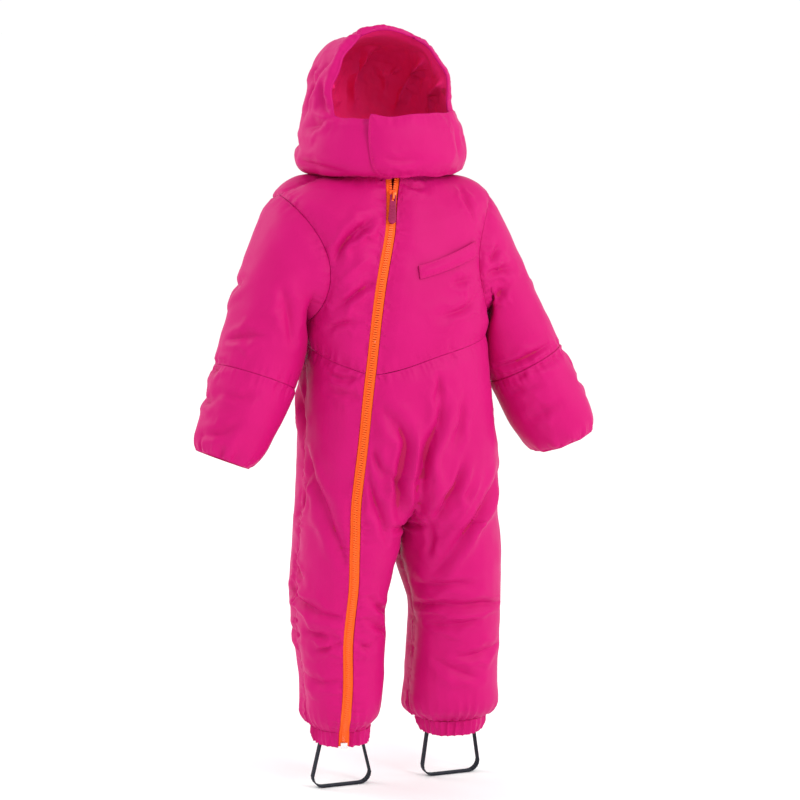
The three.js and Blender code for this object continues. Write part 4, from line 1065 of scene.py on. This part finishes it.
def softened(node, name, width, material, body="suit"):
    # a hard piece with its edges rounded
    piece = mergedCopy(node, name)
    sharp = math.radians(35)
    applyModifier(piece, "BEVEL", width=width * mm, segments=2, limit_method="ANGLE", angle_limit=sharp)
    dropSelection()
    bpy.context.view_layer.objects.active = piece
    piece.select_set(True)
    bpy.ops.object.shade_smooth_by_angle(angle=math.radians(40))
    piece.select_set(False)
    piece.data.materials.append(material)
    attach(piece, body)
    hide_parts(node)
    return piece


softened("zip_slider", "slider", 0.3, sliderMetal)
softened("zip_bottom_stop", "bottom_stop", 0.6, clampMetal)
softened("zip_puller", "puller_tab", 0.5, pullerPlastic, "puller")

ribs = {"count": 6, "wide": 6.2, "long": 1.3, "high": 1.0, "first": 5.0, "step": 3.2}


def pullerRibs():
    # raised grip ribs on both faces of the puller, counted from its free end
    co, _, _ = readMesh(nodes["zip_puller"].data)
    middle = co.mean(0)
    length, width, thick = np.linalg.svd(co - middle)[2]
    if length[2] < 0:
        length = -length
    low = ((co - middle) @ length).min()
    half = ((co - middle) @ thick).max()
    centre = middle + thick * (((co - middle) @ thick).max() + ((co - middle) @ thick).min()) / 2
    centre = centre + width * (((co - middle) @ width).max() + ((co - middle) @ width).min()) / 2
    shape = toothShape()
    scale = np.array([ribs[key] / tooth[key] for key in ("wide", "long", "high")])
    for vert in shape.data.vertices:
        vert.co = Vector(np.array(vert.co) * scale)
    places = []
    for i in range(ribs["count"]):
        along = low + (ribs["first"] + i * ribs["step"]) * mm
        for face in (1, -1):
            places.append((centre + length * along + thick * face * half, width, length, thick * face))
    piece = copiesOf("puller_ribs", shape, places)
    forget(shape)
    bm = bmesh.new()
    bm.from_mesh(piece.data)
    bmesh.ops.recalc_face_normals(bm, faces=bm.faces)
    bm.to_mesh(piece.data)
    bm.free()
    piece.data.shade_flat()
    piece.data.materials.append(pullerPlastic)
    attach(piece, "puller")


pullerRibs()
for word in ("right", "left"):
    strap = softened("foot_strap_" + word, "elastic_strap_" + word, 0.4, elasticCloth)
    print("strap", word, "half area", round(sum(f.area for f in strap.data.polygons) / 2, 5))
print("zip and straps made")

bpy.ops.mesh.primitive_plane_add(size=120, location=(0, 0, cadBox[0][2] - 0.0005))
floor = bpy.context.object
floor.name = "floor"
floorMaterial, _, floorShader = newMaterial("pale floor")
floorShader.inputs["Base Color"].default_value = (0.98, 0.98, 0.98, 1)
floorShader.inputs["Roughness"].default_value = 0.9
floorShader.inputs["Specular IOR Level"].default_value = 0.1
floor.data.materials.append(floorMaterial)

world = bpy.data.worlds.new("studio")
bpy.context.scene.world = world
world.use_nodes = True
world.node_tree.nodes["Background"].inputs["Color"].default_value = (1, 1, 1, 1)
world.node_tree.nodes["Background"].inputs["Strength"].default_value = 1.03


def softLight(name, place, target, size, power):
    bpy.ops.object.light_add(type="AREA", location=place)
    light = bpy.context.object
    light.name = name
    light.data.shape = "DISK"
    light.data.size = size
    light.data.energy = power
    light.rotation_euler = (Vector(target) - Vector(place)).to_track_quat("-Z", "Y").to_euler()


softLight("key", (1.3, -2.7, 1.4), (0, 0, -0.25), 1.1, 34)
softLight("side", (2.4, -1.2, 0.7), (0, 0, -0.3), 1.2, 12)
softLight("back", (-1.9, 1.5, 1.2), (0, 0, -0.2), 1.4, 26)

view = {"azimuth": -19.7, "elevation": 4.1, "distance": 3.0, "lens": 113.9, "shift": 0.024}
view["target"] = (0.0, 0.0, -0.265)
toViewer, sideways = lookFrom(view["azimuth"])
lift = math.radians(view["elevation"])
eye = (toViewer * math.cos(lift) + Vector((0, 0, math.sin(lift)))) * view["distance"]
bpy.ops.object.camera_add(location=eye)
camera = bpy.context.object
camera.rotation_euler = (Vector(view["target"]) - eye).to_track_quat("-Z", "Y").to_euler()
camera.data.lens = view["lens"]
camera.data.sensor_width = 36
camera.data.shift_x = view["shift"]
bpy.context.scene.camera = camera
bpy.context.scene.view_settings.view_transform = "Standard"
print("studio set")
